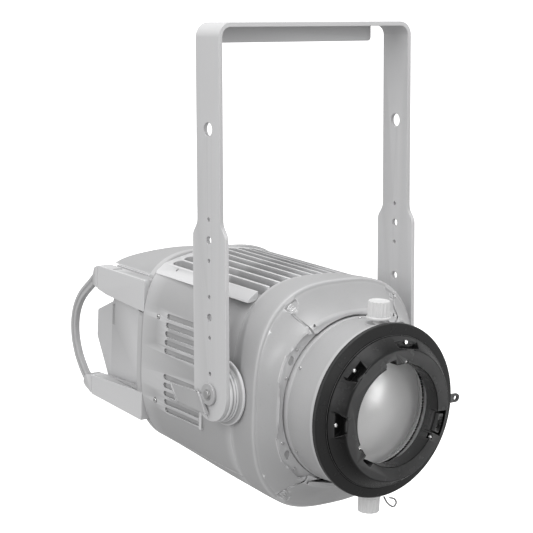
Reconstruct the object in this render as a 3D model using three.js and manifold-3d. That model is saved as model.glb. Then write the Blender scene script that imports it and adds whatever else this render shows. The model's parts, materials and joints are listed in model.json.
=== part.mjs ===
// Profile spotlight: a long finned housing on a U-shaped yoke, with a bayonet adapter ring at the nose.
// Row frame: millimetres, +Z up, -Y towards the beam, origin on top of the yoke's crossbar.
// Head frame: origin on the tilt axis, tipped nose-down by HEAD_TILT.
import * as THREE from 'three';
import { mergeVertices } from 'three/addons/utils/BufferGeometryUtils.js';
import Module from 'manifold-3d';

const wasm = await Module();
wasm.setup();

// ---- driving dimensions ----
const GAP = 0.3;
const DEG = Math.PI / 180;
const HEAD_TILT = 4 * DEG;

const YOKE_HALF_WIDTH = 190;
const YOKE_HEIGHT = 564;
const YOKE_PLATE = 7;
const YOKE_ARM_WIDTH = 60;
const YOKE_FOOT_WIDTH = 85;
const YOKE_BEND_RADIUS = 22;
const HOLE_PITCH = 118.6;
const PIVOT_HOLE_RADIUS = 8;
const BOLT_HOLE_RADIUS = 6.5;
const BOLT_HOLE_X = 30;
const FLANGE_HEIGHT = 31;
const FLANGE_HALF_LENGTH = 152;
const LEVER_HUB_RADIUS = 17.5;
const LEVER_HUB_DEPTH = 5;
const LEVER_PADDLE_THICK = 6;

const AXIS_DROP = 6;            // optical axis below the tilt axis
const WALL = 3;
const BODY_FRONT = -5;
const BODY_REAR = 250;
const NOSE_SEAM = -72;
const NOSE_FRONT = -112;
const ROOF_SEAM_Z = 137;
const FLOOR_SEAM_Z = -140;
const FRAME_REAR = 268;
const BOSS_SEAT = 161;          // inner face of the pivot bosses, from the middle
const FRICTION_DISC_THICK = 12;
const BODY_POWER = 2.8;         // superellipse exponent of the housing's section
const REAR_POWER = 3.6;         // of its upper half at the rear, where its shoulders are squarer
const NOSE_POWER = 2.4;         // and of the nose's front face
const FAR = 260;                // past the object on any side, for cutting tools

const FIN_PITCH = 22;
const FIN_COUNT = 11;
const FIN_THICK = 4;
const FIN_DEPTH = 13;
const FIN_CROWN = 170.5;
const FIN_ARC_RADIUS = 356;
const FIN_END = 235;

const CHANNEL_ANGLE = 54 * DEG;
const CHANNEL_WIDTH = 6;
const POCKET_WIDTH = 26;
const POCKET_START = 152;       // from the optical axis
const NOSE_WALL = 5;

const VENT_HEIGHT = 9;
const VENT_PITCH = 14.2;
const VENT_SPAN = [84, 184];
const VENT_BANK_TOPS = [80, -19.6];
const VENTS_PER_BANK = 5;
const CAPTIVE_SCREWS = [[207, 75], [211, -67]];

const BEAM_OUT = 150;
const BEAM_IN = 124;
const TOP_BEAM_END = 396;
const LOW_BEAM_END = 408;
const CORE_HALF = 116;
const CORE_TOP = 126;
const PANEL_Y = 447 + GAP;
const DOME_HEIGHT = 30;
const DOME_END = 398;

const BARREL_RADIUS = 130;
const BARREL_WALL = 6;
const RING_OPENING = 79.4;
const RING_OUTER = 136;
const RING_REAR = -183;
const RING_FACE = -221;
const KNOB_Y = -164;
const LENS_RADIUS = 91.5;
const CARRIAGE_WALL = 5.5;
const FAN_X = 62;
const FAN_Y = [150, 172];
const FAN_BORE = 54;
const FAN_HUB = 18;

const COLOURS = {
  body: [0xb9b9ba, 0.55, 0.1],
  yoke: [0xb7b7b8, 0.5, 0.1],
  knob: [0xd2d2d3, 0.5, 0.0],
  black: [0x101112, 0.45, 0.2],
  steel: [0xc8c8c8, 0.3, 0.9],
  glass: [0xe6eaec, 0.1, 0.0],
  dark: [0x2a2b2d, 0.6, 0.0],
  board: [0x1d5a34, 0.6, 0.0],
  aluminium: [0xc2c4c6, 0.4, 0.8],
};

// ---- helpers ----
function solid(geometry) {
  // Only positions are kept, so corners merge; triangles collapsed at an axis are dropped.
  geometry.deleteAttribute('normal');
  geometry.deleteAttribute('uv');
  const merged = mergeVertices(geometry, 1e-4);
  const position = merged.getAttribute('position');
  const index = merged.index.array;
  const triangles = [];
  let volume = 0;
  const [a, b, c] = [new THREE.Vector3(), new THREE.Vector3(), new THREE.Vector3()];
  for (let i = 0; i < index.length; i += 3) {
    const [p, q, r] = [index[i], index[i + 1], index[i + 2]];
    if (p === q || q === r || r === p) continue;
    triangles.push(p, q, r);
    a.fromBufferAttribute(position, p);
    b.fromBufferAttribute(position, q);
    c.fromBufferAttribute(position, r);
    volume += a.dot(b.cross(c));
  }
  if (volume < 0) {
    for (let i = 0; i < triangles.length; i += 3) {
      [triangles[i], triangles[i + 1]] = [triangles[i + 1], triangles[i]];
    }
  }
  const mesh = new wasm.Mesh({
    numProp: 3,
    vertProperties: new Float32Array(position.array),
    triVerts: new Uint32Array(triangles),
  });
  return new wasm.Manifold(mesh);
}

function union(solids) {
  return solids.reduce((sum, one) => sum.add(one));
}

function cut(body, tools) {
  return tools.reduce((rest, tool) => rest.subtract(tool), body);
}

function toGeometry(manifold) {
  const mesh = manifold.getMesh();
  const geometry = new THREE.BufferGeometry();
  geometry.setAttribute('position', new THREE.BufferAttribute(mesh.vertProperties, 3));
  geometry.setIndex(new THREE.BufferAttribute(mesh.triVerts, 1));
  geometry.computeVertexNormals();
  return geometry;
}

function node(parent, name, colour, manifold) {
  const [color, roughness, metalness] = COLOURS[colour];
  const material = new THREE.MeshStandardMaterial({ color, roughness, metalness });
  const mesh = new THREE.Mesh(toGeometry(manifold), material);
  mesh.name = name;
  parent.add(mesh);
  return mesh;
}

function box(x0, x1, y0, y1, z0, z1) {
  const geometry = new THREE.BoxGeometry(x1 - x0, y1 - y0, z1 - z0);
  geometry.translate((x0 + x1) / 2, (y0 + y1) / 2, (z0 + z1) / 2);
  return solid(geometry);
}

function cylinderY(radius, y0, y1, x = 0, z = 0, segments = 32) {
  const geometry = new THREE.CylinderGeometry(radius, radius, y1 - y0, segments);
  geometry.translate(x, (y0 + y1) / 2, z);
  return solid(geometry);
}

function cylinderX(radius, x0, x1, y = 0, z = 0, segments = 32) {
  const geometry = new THREE.CylinderGeometry(radius, radius, x1 - x0, segments);
  geometry.rotateZ(Math.PI / 2);
  geometry.translate((x0 + x1) / 2, y, z);
  return solid(geometry);
}

function cylinderZ(radius, z0, z1, x = 0, y = 0, segments = 32) {
  const geometry = new THREE.CylinderGeometry(radius, radius, z1 - z0, segments);
  geometry.rotateX(Math.PI / 2);
  geometry.translate(x, y, (z0 + z1) / 2);
  return solid(geometry);
}

function outline(points) {
  return new THREE.Shape(points.map(([u, v]) => new THREE.Vector2(u, v)));
}

// A shape drawn as (x, z), running from y0 to y1.
function alongY(shape, y0, y1, curveSegments = 12) {
  const geometry = new THREE.ExtrudeGeometry(shape, { depth: y1 - y0, bevelEnabled: false, curveSegments });
  geometry.rotateX(Math.PI / 2);
  geometry.translate(0, y1, 0);
  return solid(geometry);
}

// A shape drawn as (y, z), running from x0 to x1.
function alongX(shape, x0, x1, curveSegments = 12) {
  const geometry = new THREE.ExtrudeGeometry(shape, { depth: x1 - x0, bevelEnabled: false, curveSegments });
  const basis = new THREE.Matrix4().makeBasis(
    new THREE.Vector3(0, 1, 0), new THREE.Vector3(0, 0, 1), new THREE.Vector3(1, 0, 0));
  geometry.applyMatrix4(basis);
  geometry.translate(x0, 0, 0);
  return solid(geometry);
}

// A closed profile of (radius, y) turned about the optical axis.
function turned(profile, segments = 40) {
  const points = profile.map(([r, y]) => new THREE.Vector2(r, y));
  const geometry = new THREE.LatheGeometry(points, segments);
  geometry.translate(0, 0, -AXIS_DROP);
  return solid(geometry);
}

// Two distances from the middle, put in rising order on the left (-1) or right (1) side.
function span(side, a, b) {
  return [side * a, side * b].sort((p, q) => p - q);
}

function smooth(x, x0, x1) {
  const t = Math.min(1, Math.max(0, (x - x0) / (x1 - x0)));
  return t * t * (3 - 2 * t);
}

function mix(a, b, t) {
  return a + (b - a) * t;
}

// Half-width, half-height above and below the optical axis, and exponents of the housing at y.
function section(y) {
  const body = smooth(y, NOSE_SEAM, 20);
  const nose = Math.min(1, Math.max(0, (NOSE_SEAM - y) / (NOSE_SEAM - NOSE_FRONT)));
  const dish = Math.pow(nose, 0.8);
  const taper = smooth(y, -40, BODY_REAR + 60);
  return {
    wide: mix(mix(160, 152, body), 146, nose),
    up: mix(mix(182, 176, body), 141, dish),
    down: mix(mix(182, 158, taper), 141, dish),
    power: mix(BODY_POWER, NOSE_POWER, nose),
    upperPower: mix(mix(BODY_POWER, REAR_POWER, smooth(y, 20, BODY_REAR)), NOSE_POWER, nose),
  };
}

// A closed profile of (inset, y) swept round the housing's section.
function swept(profile, segments = 48) {
  const base = 300;
  const points = profile.map(([inset, y]) => new THREE.Vector2(base - inset, y));
  const geometry = new THREE.LatheGeometry(points, segments);
  const position = geometry.getAttribute('position');
  for (let i = 0; i < position.count; i += 1) {
    const [x, y, z] = [position.getX(i), position.getY(i), position.getZ(i)];
    const inset = base - Math.hypot(x, z);
    const angle = Math.atan2(z, x);
    const s = section(y);
    const half = (angle >= 0 ? s.up : s.down) - inset;
    const power = angle >= 0 ? s.upperPower : s.power;
    const round = (value) => Math.sign(value) * Math.pow(Math.abs(value), 2 / power);
    const [across, rise] = [Math.cos(angle), Math.sin(angle)];
    position.setX(i, Math.abs(across) < 1e-9 ? 0 : round(across) * (s.wide - inset));
    position.setZ(i, -AXIS_DROP + (Math.abs(rise) < 1e-9 ? 0 : round(rise) * half));
  }
  return solid(geometry);
}

// Point at a radius and angle about the optical axis, angle from +X towards +Z.
function polar(radius, angle) {
  return [radius * Math.cos(angle), -AXIS_DROP + radius * Math.sin(angle)];
}

// A block lying along a radius of the optical axis.
function radialBox(r0, r1, y0, y1, width, angle) {
  const geometry = new THREE.BoxGeometry(r1 - r0, y1 - y0, width);
  geometry.translate((r0 + r1) / 2, (y0 + y1) / 2, 0);
  geometry.rotateY(-angle);
  geometry.translate(0, 0, -AXIS_DROP);
  return solid(geometry);
}

function radialPin(radius, r0, r1, y, angle, segments = 12) {
  const geometry = new THREE.CylinderGeometry(radius, radius, r1 - r0, segments);
  geometry.rotateZ(Math.PI / 2);
  geometry.translate((r0 + r1) / 2, y, 0);
  geometry.rotateY(-angle);
  geometry.translate(0, 0, -AXIS_DROP);
  return solid(geometry);
}

// An arc-shaped plate about the optical axis.
function arcPlate(r0, r1, y0, y1, angle0, angle1, steps = 6) {
  const points = [];
  for (let i = 0; i <= steps; i += 1) points.push(polar(r1, mix(angle0, angle1, i / steps)));
  for (let i = steps; i >= 0; i -= 1) points.push(polar(r0, mix(angle0, angle1, i / steps)));
  return alongY(outline(points), y0, y1);
}

// ---- groups ----
const spotlight = new THREE.Group();
const head = new THREE.Group();
head.position.z = -YOKE_HEIGHT;
head.rotation.x = HEAD_TILT;
spotlight.add(head);

// ---- yoke ----
function armOutline() {
  const narrow = YOKE_ARM_WIDTH / 2;
  const wide = YOKE_FOOT_WIDTH / 2;
  const [flareLow, flareHigh] = [240, 268];
  const shape = new THREE.Shape();
  shape.moveTo(-narrow, YOKE_HEIGHT);
  shape.lineTo(-narrow, flareHigh);
  shape.bezierCurveTo(-narrow, flareHigh - 12, -wide, flareLow + 12, -wide, flareLow);
  shape.lineTo(-wide, 0);
  shape.absarc(0, 0, wide, Math.PI, 2 * Math.PI, false);
  shape.lineTo(wide, flareLow);
  shape.bezierCurveTo(wide, flareLow + 12, narrow, flareHigh - 12, narrow, flareHigh);
  shape.lineTo(narrow, YOKE_HEIGHT);
  return shape;
}

function uOutline() {
  const [out, inner] = [YOKE_HALF_WIDTH, YOKE_HALF_WIDTH - YOKE_PLATE];
  const [bend, inside] = [YOKE_BEND_RADIUS, YOKE_BEND_RADIUS - YOKE_PLATE];
  const low = -YOKE_HEIGHT - YOKE_FOOT_WIDTH;
  const shape = new THREE.Shape();
  shape.moveTo(-out, low);
  shape.lineTo(-inner, low);
  shape.lineTo(-inner, -bend);
  shape.absarc(-out + bend, -bend, inside, Math.PI, Math.PI / 2, true);
  shape.lineTo(out - bend, -YOKE_PLATE);
  shape.absarc(out - bend, -bend, inside, Math.PI / 2, 0, true);
  shape.lineTo(inner, low);
  shape.lineTo(out, low);
  shape.lineTo(out, -bend);
  shape.absarc(out - bend, -bend, bend, 0, Math.PI / 2, false);
  shape.lineTo(-out + bend, 0);
  shape.absarc(-out + bend, -bend, bend, Math.PI / 2, Math.PI, false);
  return shape;
}

function buildYoke() {
  const strip = alongY(uOutline(), -YOKE_FOOT_WIDTH, YOKE_FOOT_WIDTH, 4);
  const profile = alongX(armOutline(), -FAR, FAR, 6);
  const band = strip.intersect(profile.translate([0, 0, -YOKE_HEIGHT]));
  const [end, low, corner, sunk] = [FLANGE_HALF_LENGTH, -FLANGE_HEIGHT, 6, -2];
  const flange = outline([[-end, sunk], [-end, low + corner], [-end + corner, low],
    [end - corner, low], [end, low + corner], [end, sunk]]);
  const stiffener = alongY(flange, YOKE_ARM_WIDTH / 2 - 5, YOKE_ARM_WIDTH / 2);
  const through = (radius, height, segments) =>
    cylinderX(radius, -FAR, FAR, 0, height - YOKE_HEIGHT, segments);
  const [cableHole, cableHoleHeight, stopHole, smallHole, smallOffset] = [10.5, 405, 6, 3, 31.5];
  const tools = [through(PIVOT_HOLE_RADIUS, 0, 16), through(cableHole, cableHoleHeight, 16)];
  for (const level of [0, 1, 2]) {
    tools.push(through(smallHole, level * HOLE_PITCH + smallOffset, 8));
    if (level > 0) tools.push(through(smallHole, level * HOLE_PITCH - smallOffset, 8));
    if (level > 0) tools.push(through(stopHole, level * HOLE_PITCH, 12));
  }
  tools.push(cylinderX(stopHole, 0, FAR, 0, HOLE_PITCH + smallOffset - YOKE_HEIGHT, 12));
  for (const x of [-BOLT_HOLE_X, BOLT_HOLE_X]) {
    tools.push(cylinderZ(BOLT_HOLE_RADIUS, -YOKE_PLATE - 3, 3, x, 0, 12));
  }
  return cut(band.add(stiffener), tools);
}

node(spotlight, 'yoke', 'yoke', buildYoke());

// Lever handle outside each arm: a low hub and a slanted paddle pointing rearward.
function buildTiltLever(side) {
  const paddle = outline([[-2, -31], [80, -24], [98, 3], [19, 1]]);
  const hubFace = YOKE_HALF_WIDTH + LEVER_HUB_DEPTH;
  const hub = cylinderX(LEVER_HUB_RADIUS, ...span(side, YOKE_HALF_WIDTH + GAP, hubFace), 0, 0, 28);
  const bore = cylinderX(PIVOT_HOLE_RADIUS, ...span(side, YOKE_HALF_WIDTH, FAR), 0, 0, 12);
  const plate = alongX(paddle, ...span(side, hubFace - 2, hubFace - 2 + LEVER_PADDLE_THICK));
  return plate.add(hub).subtract(bore).translate([0, 0, -YOKE_HEIGHT]);
}

for (const [side, hand] of [[-1, 'left'], [1, 'right']]) {
  node(spotlight, `tilt_lever_${hand}`, 'body', buildTiltLever(side));
}

// ---- tilt pivots ----
for (const [side, hand] of [[-1, 'left'], [1, 'right']]) {
  const inner = YOKE_HALF_WIDTH - YOKE_PLATE;
  const discSeat = inner - FRICTION_DISC_THICK;
  const bore = cylinderX(PIVOT_HOLE_RADIUS, ...span(side, BOSS_SEAT - 10, FAR), 0, 0, 12);
  const disc = cylinderX(44, ...span(side, inner - GAP, discSeat), 0, 0, 24);
  node(spotlight, `friction_disc_${hand}`, 'dark', disc.subtract(bore).translate([0, 0, -YOKE_HEIGHT]));
  const boss = cylinderX(46, ...span(side, discSeat - GAP, BOSS_SEAT), 0, 0, 24);
  const skirt = cylinderX(52, ...span(side, BOSS_SEAT + 4, BOSS_SEAT), 0, 0, 24);
  node(head, `pivot_boss_${hand}`, 'body', boss.add(skirt).subtract(bore));
  const capFoot = YOKE_HALF_WIDTH + LEVER_HUB_DEPTH + GAP;
  const shank = cylinderX(PIVOT_HOLE_RADIUS - 0.5, ...span(side, BOSS_SEAT - 18, capFoot + 1), 0, 0, 12);
  const cap = cylinderX(9, ...span(side, capFoot, capFoot + 3.5), 0, 0, 6);
  node(head, `pivot_bolt_${hand}`, 'steel', shank.add(cap));
}

// ---- nose ----
function pivotPassage() {
  return cylinderX(PIVOT_HOLE_RADIUS + 0.5, -FAR, FAR, 0, 0, 12);
}

// The octagonal opening of the nose's face, drawn from its lower left corner.
function noseOpening() {
  const [wide, narrow] = [141, 98];
  return outline([[-wide, -75], [-narrow, -118], [narrow, -118], [wide, -75],
    [wide, 63], [narrow, 106], [-narrow, 106], [-wide, 63]]);
}

function channelAngles() {
  return [CHANNEL_ANGLE, Math.PI - CHANNEL_ANGLE, Math.PI + CHANNEL_ANGLE, -CHANNEL_ANGLE];
}

function buildNose() {
  const [before, faceRear] = [NOSE_FRONT - 5, NOSE_FRONT + NOSE_WALL];
  const outer = [[0, BODY_FRONT], [0, -35], [0, NOSE_SEAM + 4], [1.5, NOSE_SEAM],
    [2, NOSE_SEAM - 4], [2, -92], [2, NOSE_FRONT]];
  const inner = [[30, NOSE_FRONT], [30, faceRear], [9, faceRear], [NOSE_WALL + 2, NOSE_SEAM],
    [NOSE_WALL, NOSE_SEAM + 12], [NOSE_WALL, BODY_FRONT]];
  const [lip, depth, bulkheadFront] = [3, 36, BODY_FRONT - 7];
  const bulkhead = swept([[lip, bulkheadFront], [lip, BODY_FRONT], [depth, BODY_FRONT],
    [depth, bulkheadFront], [lip, bulkheadFront]]);
  const topBulkhead = bulkhead.intersect(box(-FAR, FAR, -20, 0, 132, FAR));
  const shell = swept([...outer, ...inner, outer[0]]).add(topBulkhead);
  const opening = alongY(noseOpening(), before, faceRear + 1);
  const round = cylinderY(BARREL_RADIUS + 4, before, faceRear + 1, 0, -AXIS_DROP, 48);
  const tools = [opening, round, pivotPassage()];
  for (const angle of channelAngles()) {
    tools.push(radialBox(120, POCKET_START + 1, before, -106, CHANNEL_WIDTH, angle));
    tools.push(radialBox(POCKET_START, 200, before, -80, POCKET_WIDTH, angle));
  }
  return cut(shell, tools);
}

node(head, 'nose_casting', 'body', buildNose());

// The recessed plate behind the nose's octagonal opening.
function buildFrontPlate() {
  const [front, rear] = [NOSE_FRONT + NOSE_WALL + GAP, NOSE_FRONT + 9];
  const disc = swept([[10, front], [10, rear], [70, rear], [70, front], [10, front]]);
  return disc.subtract(cylinderY(BARREL_RADIUS + 1, front - 1, rear + 1, 0, -AXIS_DROP, 48));
}

node(head, 'barrel_plate', 'body', buildFrontPlate());

function ringProfile(r0, r1, y0, y1) {
  return [[r0, y0], [r1, y0], [r1, y1], [r0, y1], [r0, y0]];
}

const bearing = turned(ringProfile(BARREL_RADIUS + 1.5, 139, -95, -65), 36);
node(head, 'barrel_bearing', 'aluminium', bearing);

// ---- middle housing ----
const COVER_ROWS = [BODY_FRONT + GAP, 30, 130, BODY_REAR - GAP];

function housingRing(wall) {
  const outer = COVER_ROWS.map((y) => [0, y]);
  const inner = [...COVER_ROWS].reverse().map((y) => [wall, y]);
  return swept([...outer, ...inner, outer[0]]);
}

function buildSideCover(side) {
  const x = span(side, 0.5, FAR);
  const panel = housingRing(WALL).intersect(box(...x, -FAR, FAR, FLOOR_SEAM_Z, ROOF_SEAM_Z));
  const tools = [pivotPassage()];
  for (const top of VENT_BANK_TOPS) {
    for (let i = 0; i < VENTS_PER_BANK; i += 1) {
      const z = top - i * VENT_PITCH;
      tools.push(box(...x, ...VENT_SPAN, z - VENT_HEIGHT / 2, z + VENT_HEIGHT / 2));
    }
  }
  for (const [y, z] of CAPTIVE_SCREWS) tools.push(cylinderX(4.5, ...x, y, z, 12));
  return cut(panel, tools);
}

for (const [side, hand] of [[-1, 'left'], [1, 'right']]) {
  node(head, `side_cover_${hand}`, 'body', buildSideCover(side));
  for (const [i, [y, z]] of CAPTIVE_SCREWS.entries()) {
    const screw = cylinderX(4, ...span(side, 140, 150.5), y, z, 12);
    const recess = cylinderX(2, ...span(side, 148.5, 152), y, z, 6);
    node(head, `cover_screw_${hand}_${i + 1}`, 'steel', screw.subtract(recess));
  }
  const rail = box(...span(side, 136, 142), -50, 138, -50, 50);
  node(head, `chassis_rail_${hand}`, 'aluminium', rail);
}

const belly = box(-FAR, FAR, -FAR, FAR, -FAR, FLOOR_SEAM_Z - GAP);
node(head, 'bottom_cover', 'body', housingRing(WALL).intersect(belly));

function crown(x) {
  return FIN_CROWN - x * x / (2 * FIN_ARC_RADIUS);
}

function buildRoof() {
  const edge = ROOF_SEAM_Z + GAP;
  const [foot, shoulder, innerFoot, reach, step, web] = [128.5, 126, 121, 112, 28, 5];
  const stations = [];
  for (let x = -reach; x <= reach; x += step) stations.push(x);
  const over = stations.map((x) => [x, crown(x)]);
  const under = stations.slice(1, -1).reverse().map((x) => [x, crown(x) - FIN_DEPTH - web]);
  const shape = outline([[-foot, edge], [-shoulder, edge + 5], ...over, [shoulder, edge + 5],
    [foot, edge], [innerFoot, edge], ...under, [-innerFoot, edge]]);
  const solidRoof = alongY(shape, BODY_FRONT + GAP, BODY_REAR - GAP);
  const half = (FIN_PITCH - FIN_THICK) / 2;
  const channels = [];
  for (let i = 0; i < FIN_COUNT - 1; i += 1) {
    const x = (i - (FIN_COUNT - 2) / 2) * FIN_PITCH;
    const floor = crown(x) - FIN_DEPTH;
    const slot = cylinderZ(half, floor, FAR, x, FIN_END - half, 12);
    channels.push(slot.add(box(x - half, x + half, -10, FIN_END - half, floor, FAR)));
  }
  return cut(solidRoof, channels);
}

node(head, 'finned_roof', 'body', buildRoof());

// ---- rear module ----
function ringRows(rim) {
  return [[0, BODY_REAR], [0, FRAME_REAR], [rim, FRAME_REAR], [rim, BODY_REAR], [0, BODY_REAR]];
}

function buildRearFrame() {
  const rim = 28;
  const ring = swept(ringRows(rim));
  const root = BODY_REAR;
  const top = [[root, 127], [TOP_BEAM_END, 126], [TOP_BEAM_END, 85], [367, 80], [root, 73]];
  const bottom = [[root, -63], [LOW_BEAM_END, -70], [LOW_BEAM_END, -104], [root, -112]];
  const beams = [];
  for (const side of [-1, 1]) {
    for (const points of [top, bottom]) {
      beams.push(alongX(outline(points), ...span(side, BEAM_OUT, BEAM_IN)));
    }
  }
  return union([ring, ...beams]);
}

node(head, 'rear_frame', 'body', buildRearFrame());

// A flat grip bent along a spine of (y, z) points, with a block at each end that bolts to its beam.
function buildHandle(side) {
  const spine = [[403, 106], [418, 92], [449, 65], [466, 40], [473, 13], [471, -14], [462, -38],
    [451, -55], [436, -72], [420, -84]];
  const curve = new THREE.CatmullRomCurve3(spine.map(([y, z]) => new THREE.Vector3(y, z, 0)));
  const [steps, half, thick] = [14, 7.5, 10];
  const [outer, inner] = [[], []];
  for (let i = 0; i <= steps; i += 1) {
    const p = curve.getPoint(i / steps);
    const t = curve.getTangent(i / steps);
    outer.push([p.x - t.y * half, p.y + t.x * half]);
    inner.push([p.x + t.y * half, p.y - t.x * half]);
  }
  const loop = alongX(outline([...outer, ...inner.reverse()]), ...span(side, BEAM_OUT, BEAM_OUT - thick));
  const wide = span(side, BEAM_OUT, BEAM_IN);
  const [top, low] = [TOP_BEAM_END + GAP, LOW_BEAM_END + GAP];
  const topFoot = alongX(outline([[top, 126], [408, 120], [412, 92], [top, 86]]), ...wide);
  const lowFoot = alongX(outline([[low, -70], [428, -72], [436, -88], [430, -94], [low, -103]]), ...wide);
  return union([loop, topFoot, lowFoot]).intersect(box(-FAR, FAR, top, 2 * FAR, -FAR, FAR));
}

for (const [side, hand] of [[-1, 'left'], [1, 'right']]) {
  node(head, `rear_handle_${hand}`, 'body', buildHandle(side));
}

function buildRearHousing() {
  const start = FRAME_REAR + GAP;
  const profile = [[start, CORE_TOP], [388, CORE_TOP], [397, 60], [446, 36], [447, -11], [412, -70],
    [400, -100], [start, -116]];
  const hollow = [[start - 1, CORE_TOP - 4], [384, CORE_TOP - 4], [393, 57], [442, 33], [443, -10],
    [409, -68], [397, -96], [start - 1, -112]];
  const shell = alongX(outline(profile), -CORE_HALF, CORE_HALF);
  return shell.subtract(alongX(outline(hollow), -CORE_HALF + WALL, CORE_HALF - WALL));
}

node(head, 'rear_housing', 'body', buildRearHousing());

// The dome is highest at the frame and falls away towards its rear end.
function buildRearDome() {
  const half = CORE_HALF - 1;
  const [base, start] = [CORE_TOP + GAP, FRAME_REAR + GAP];
  const [shoulder, high, crest] = [base + 0.5 * DOME_HEIGHT, base + 0.95 * DOME_HEIGHT, base + DOME_HEIGHT];
  const shape = new THREE.Shape();
  shape.moveTo(-half, base);
  shape.bezierCurveTo(-half + 12, shoulder, -half * 0.6, high, 0, crest);
  shape.bezierCurveTo(half * 0.6, high, half - 12, shoulder, half, base);
  const options = { depth: DOME_END - start, steps: 4, bevelEnabled: false, curveSegments: 6 };
  const geometry = new THREE.ExtrudeGeometry(shape, options);
  geometry.rotateX(Math.PI / 2);
  geometry.translate(0, DOME_END, 0);
  const position = geometry.getAttribute('position');
  for (let i = 0; i < position.count; i += 1) {
    const t = (position.getY(i) - start) / (DOME_END - start);
    const rise = 1 - 0.1 * t - 0.35 * Math.pow(t, 5);
    position.setZ(i, base + (position.getZ(i) - base) * rise);
  }
  return solid(geometry);
}

node(head, 'rear_dome', 'body', buildRearDome());

// ---- controls and connectors on the rear ----
const PANEL_ROW_Z = 13;
node(head, 'display_window', 'dark', box(-88, -28, PANEL_Y, PANEL_Y + 2, -4, 30));
const [BUTTON_START, BUTTON_PITCH, BUTTON_RADIUS] = [-2, 18, 5];
for (const i of [0, 1, 2]) {
  const x = BUTTON_START + i * BUTTON_PITCH;
  const button = cylinderY(BUTTON_RADIUS, PANEL_Y + 1.6, PANEL_Y + 4, x, PANEL_ROW_Z, 16);
  node(head, `menu_button_${i + 1}`, 'dark', button);
}
node(head, 'menu_knob', 'knob', cylinderY(10, PANEL_Y, PANEL_Y + 14, 76, PANEL_ROW_Z, 24));

// The connectors sit on the slanted panel below the display.
const connectors = new THREE.Group();
connectors.position.set(0, 429.5, -40.5);
connectors.rotation.x = -30.7 * DEG;
head.add(connectors);

function socket(radius, x) {
  const [base, top, depth, margin, wall] = [0.6, 8, 6, 4, 3];
  const half = radius + margin;
  const flange = box(x - half, x + half, base, base + 3, -half, half);
  const rim = cylinderY(radius, base, top, x, 0, 16);
  return flange.add(rim).subtract(cylinderY(radius - wall, top - depth, top + 1, x, 0, 12));
}

for (const [name, radius, x] of [
  ['power_inlet', 14, -84], ['power_outlet', 14, -44], ['data_inlet', 11, 44], ['data_outlet', 11, 82],
]) {
  node(connectors, name, 'dark', socket(radius, x));
}

// ---- inside the housing ----
node(head, 'power_supply', 'aluminium', box(-108, 10, 284, 378, -90, -20));
node(head, 'driver_board', 'board', box(24, 108, 284, 378, -60, -57));

const SINK_FRONT = 38 + GAP;
function buildHeatSink() {
  const [half, baseRear, bladeRear, pitch, bladeHalf] = [100, 46, 138, 24, 1.5];
  const base = box(-112, 112, SINK_FRONT, baseRear, -half, half);
  const blades = [];
  for (let x = -108; x <= 108; x += pitch) {
    blades.push(box(x - bladeHalf, x + bladeHalf, baseRear - 1, bladeRear, -half, half));
  }
  return union([base, ...blades]);
}

node(head, 'led_heat_sink', 'aluminium', buildHeatSink());
node(head, 'led_board', 'board', box(-55, 55, SINK_FRONT - 3.3, SINK_FRONT - GAP, -61, 49));
node(head, 'optics_housing', 'dark', turned(ringProfile(66, 70, -30, 34.7), 28));

function lensProfile(radius, edge, crownFront, crownRear, y) {
  const steps = 3;
  const points = [[0, y - edge / 2 - crownFront]];
  for (let i = 1; i <= steps; i += 1) {
    const r = i / steps;
    points.push([radius * r, y - edge / 2 - crownFront * (1 - r * r)]);
  }
  for (let i = steps; i >= 0; i -= 1) {
    const r = i / steps;
    points.push([radius * r, y + edge / 2 + crownRear * (1 - r * r)]);
  }
  return points;
}

node(head, 'condenser_lens', 'glass', turned(lensProfile(65.5, 6, 9, 9, 8), 24));
node(head, 'gate_plate', 'dark', turned(ringProfile(38, 96, -42, -39), 28));

function buildFanFrame() {
  const frame = box(-120, 120, ...FAN_Y, -60, 60);
  const motorFront = FAN_Y[1] - 4;
  const struts = [];
  const bores = [];
  for (const x of [-FAN_X, FAN_X]) {
    struts.push(box(x - FAN_BORE, x + FAN_BORE, motorFront, FAN_Y[1], -3, 3));
    struts.push(cylinderY(FAN_HUB, motorFront, FAN_Y[1], x, 0, 20));
    bores.push(cylinderY(FAN_BORE, FAN_Y[0] - 1, FAN_Y[1] + 1, x, 0, 24));
  }
  return union([cut(frame, bores), ...struts]);
}

function buildRotor() {
  const bladeCount = 7;
  const [bladeLength, bladeThick, bladeWidth, pitch] = [36, 2, 20, 35 * DEG];
  const hub = cylinderY(FAN_HUB, -8, 8, 0, 0, 12);
  const blades = [];
  for (let i = 0; i < bladeCount; i += 1) {
    const geometry = new THREE.BoxGeometry(bladeLength, bladeThick, bladeWidth);
    geometry.rotateX(pitch);
    geometry.translate(FAN_HUB + bladeLength / 2 - 3, 0, 0);
    geometry.rotateY(i * 2 * Math.PI / bladeCount);
    blades.push(solid(geometry));
  }
  return union([hub, ...blades]);
}

node(head, 'fan_frame', 'dark', buildFanFrame());
for (const [side, hand] of [[-1, 'left'], [1, 'right']]) {
  const rotor = node(head, `fan_rotor_${hand}`, 'dark', buildRotor());
  rotor.position.set(side * FAN_X, FAN_Y[0] + 9, 0);
}

// ---- lens barrel ----
function buildBarrel() {
  const inner = BARREL_RADIUS - BARREL_WALL;
  const [flange, seat, front, rear] = [136, 134, RING_REAR + 0.5, -60];
  const profile = [[inner, rear], [flange, rear], [flange, rear - 4], [BARREL_RADIUS, rear - 4],
    [BARREL_RADIUS, -172], [seat, -175], [seat, front], [inner, front], [inner, rear]];
  const screwHoles = [-1, 1].map((side) => {
    const [low, high] = span(side, 110, 140);
    return cylinderZ(5.5, low - AXIS_DROP, high - AXIS_DROP, 0, KNOB_Y, 16);
  });
  return cut(turned(profile, 44), screwHoles);
}

node(head, 'barrel', 'body', buildBarrel());

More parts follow.
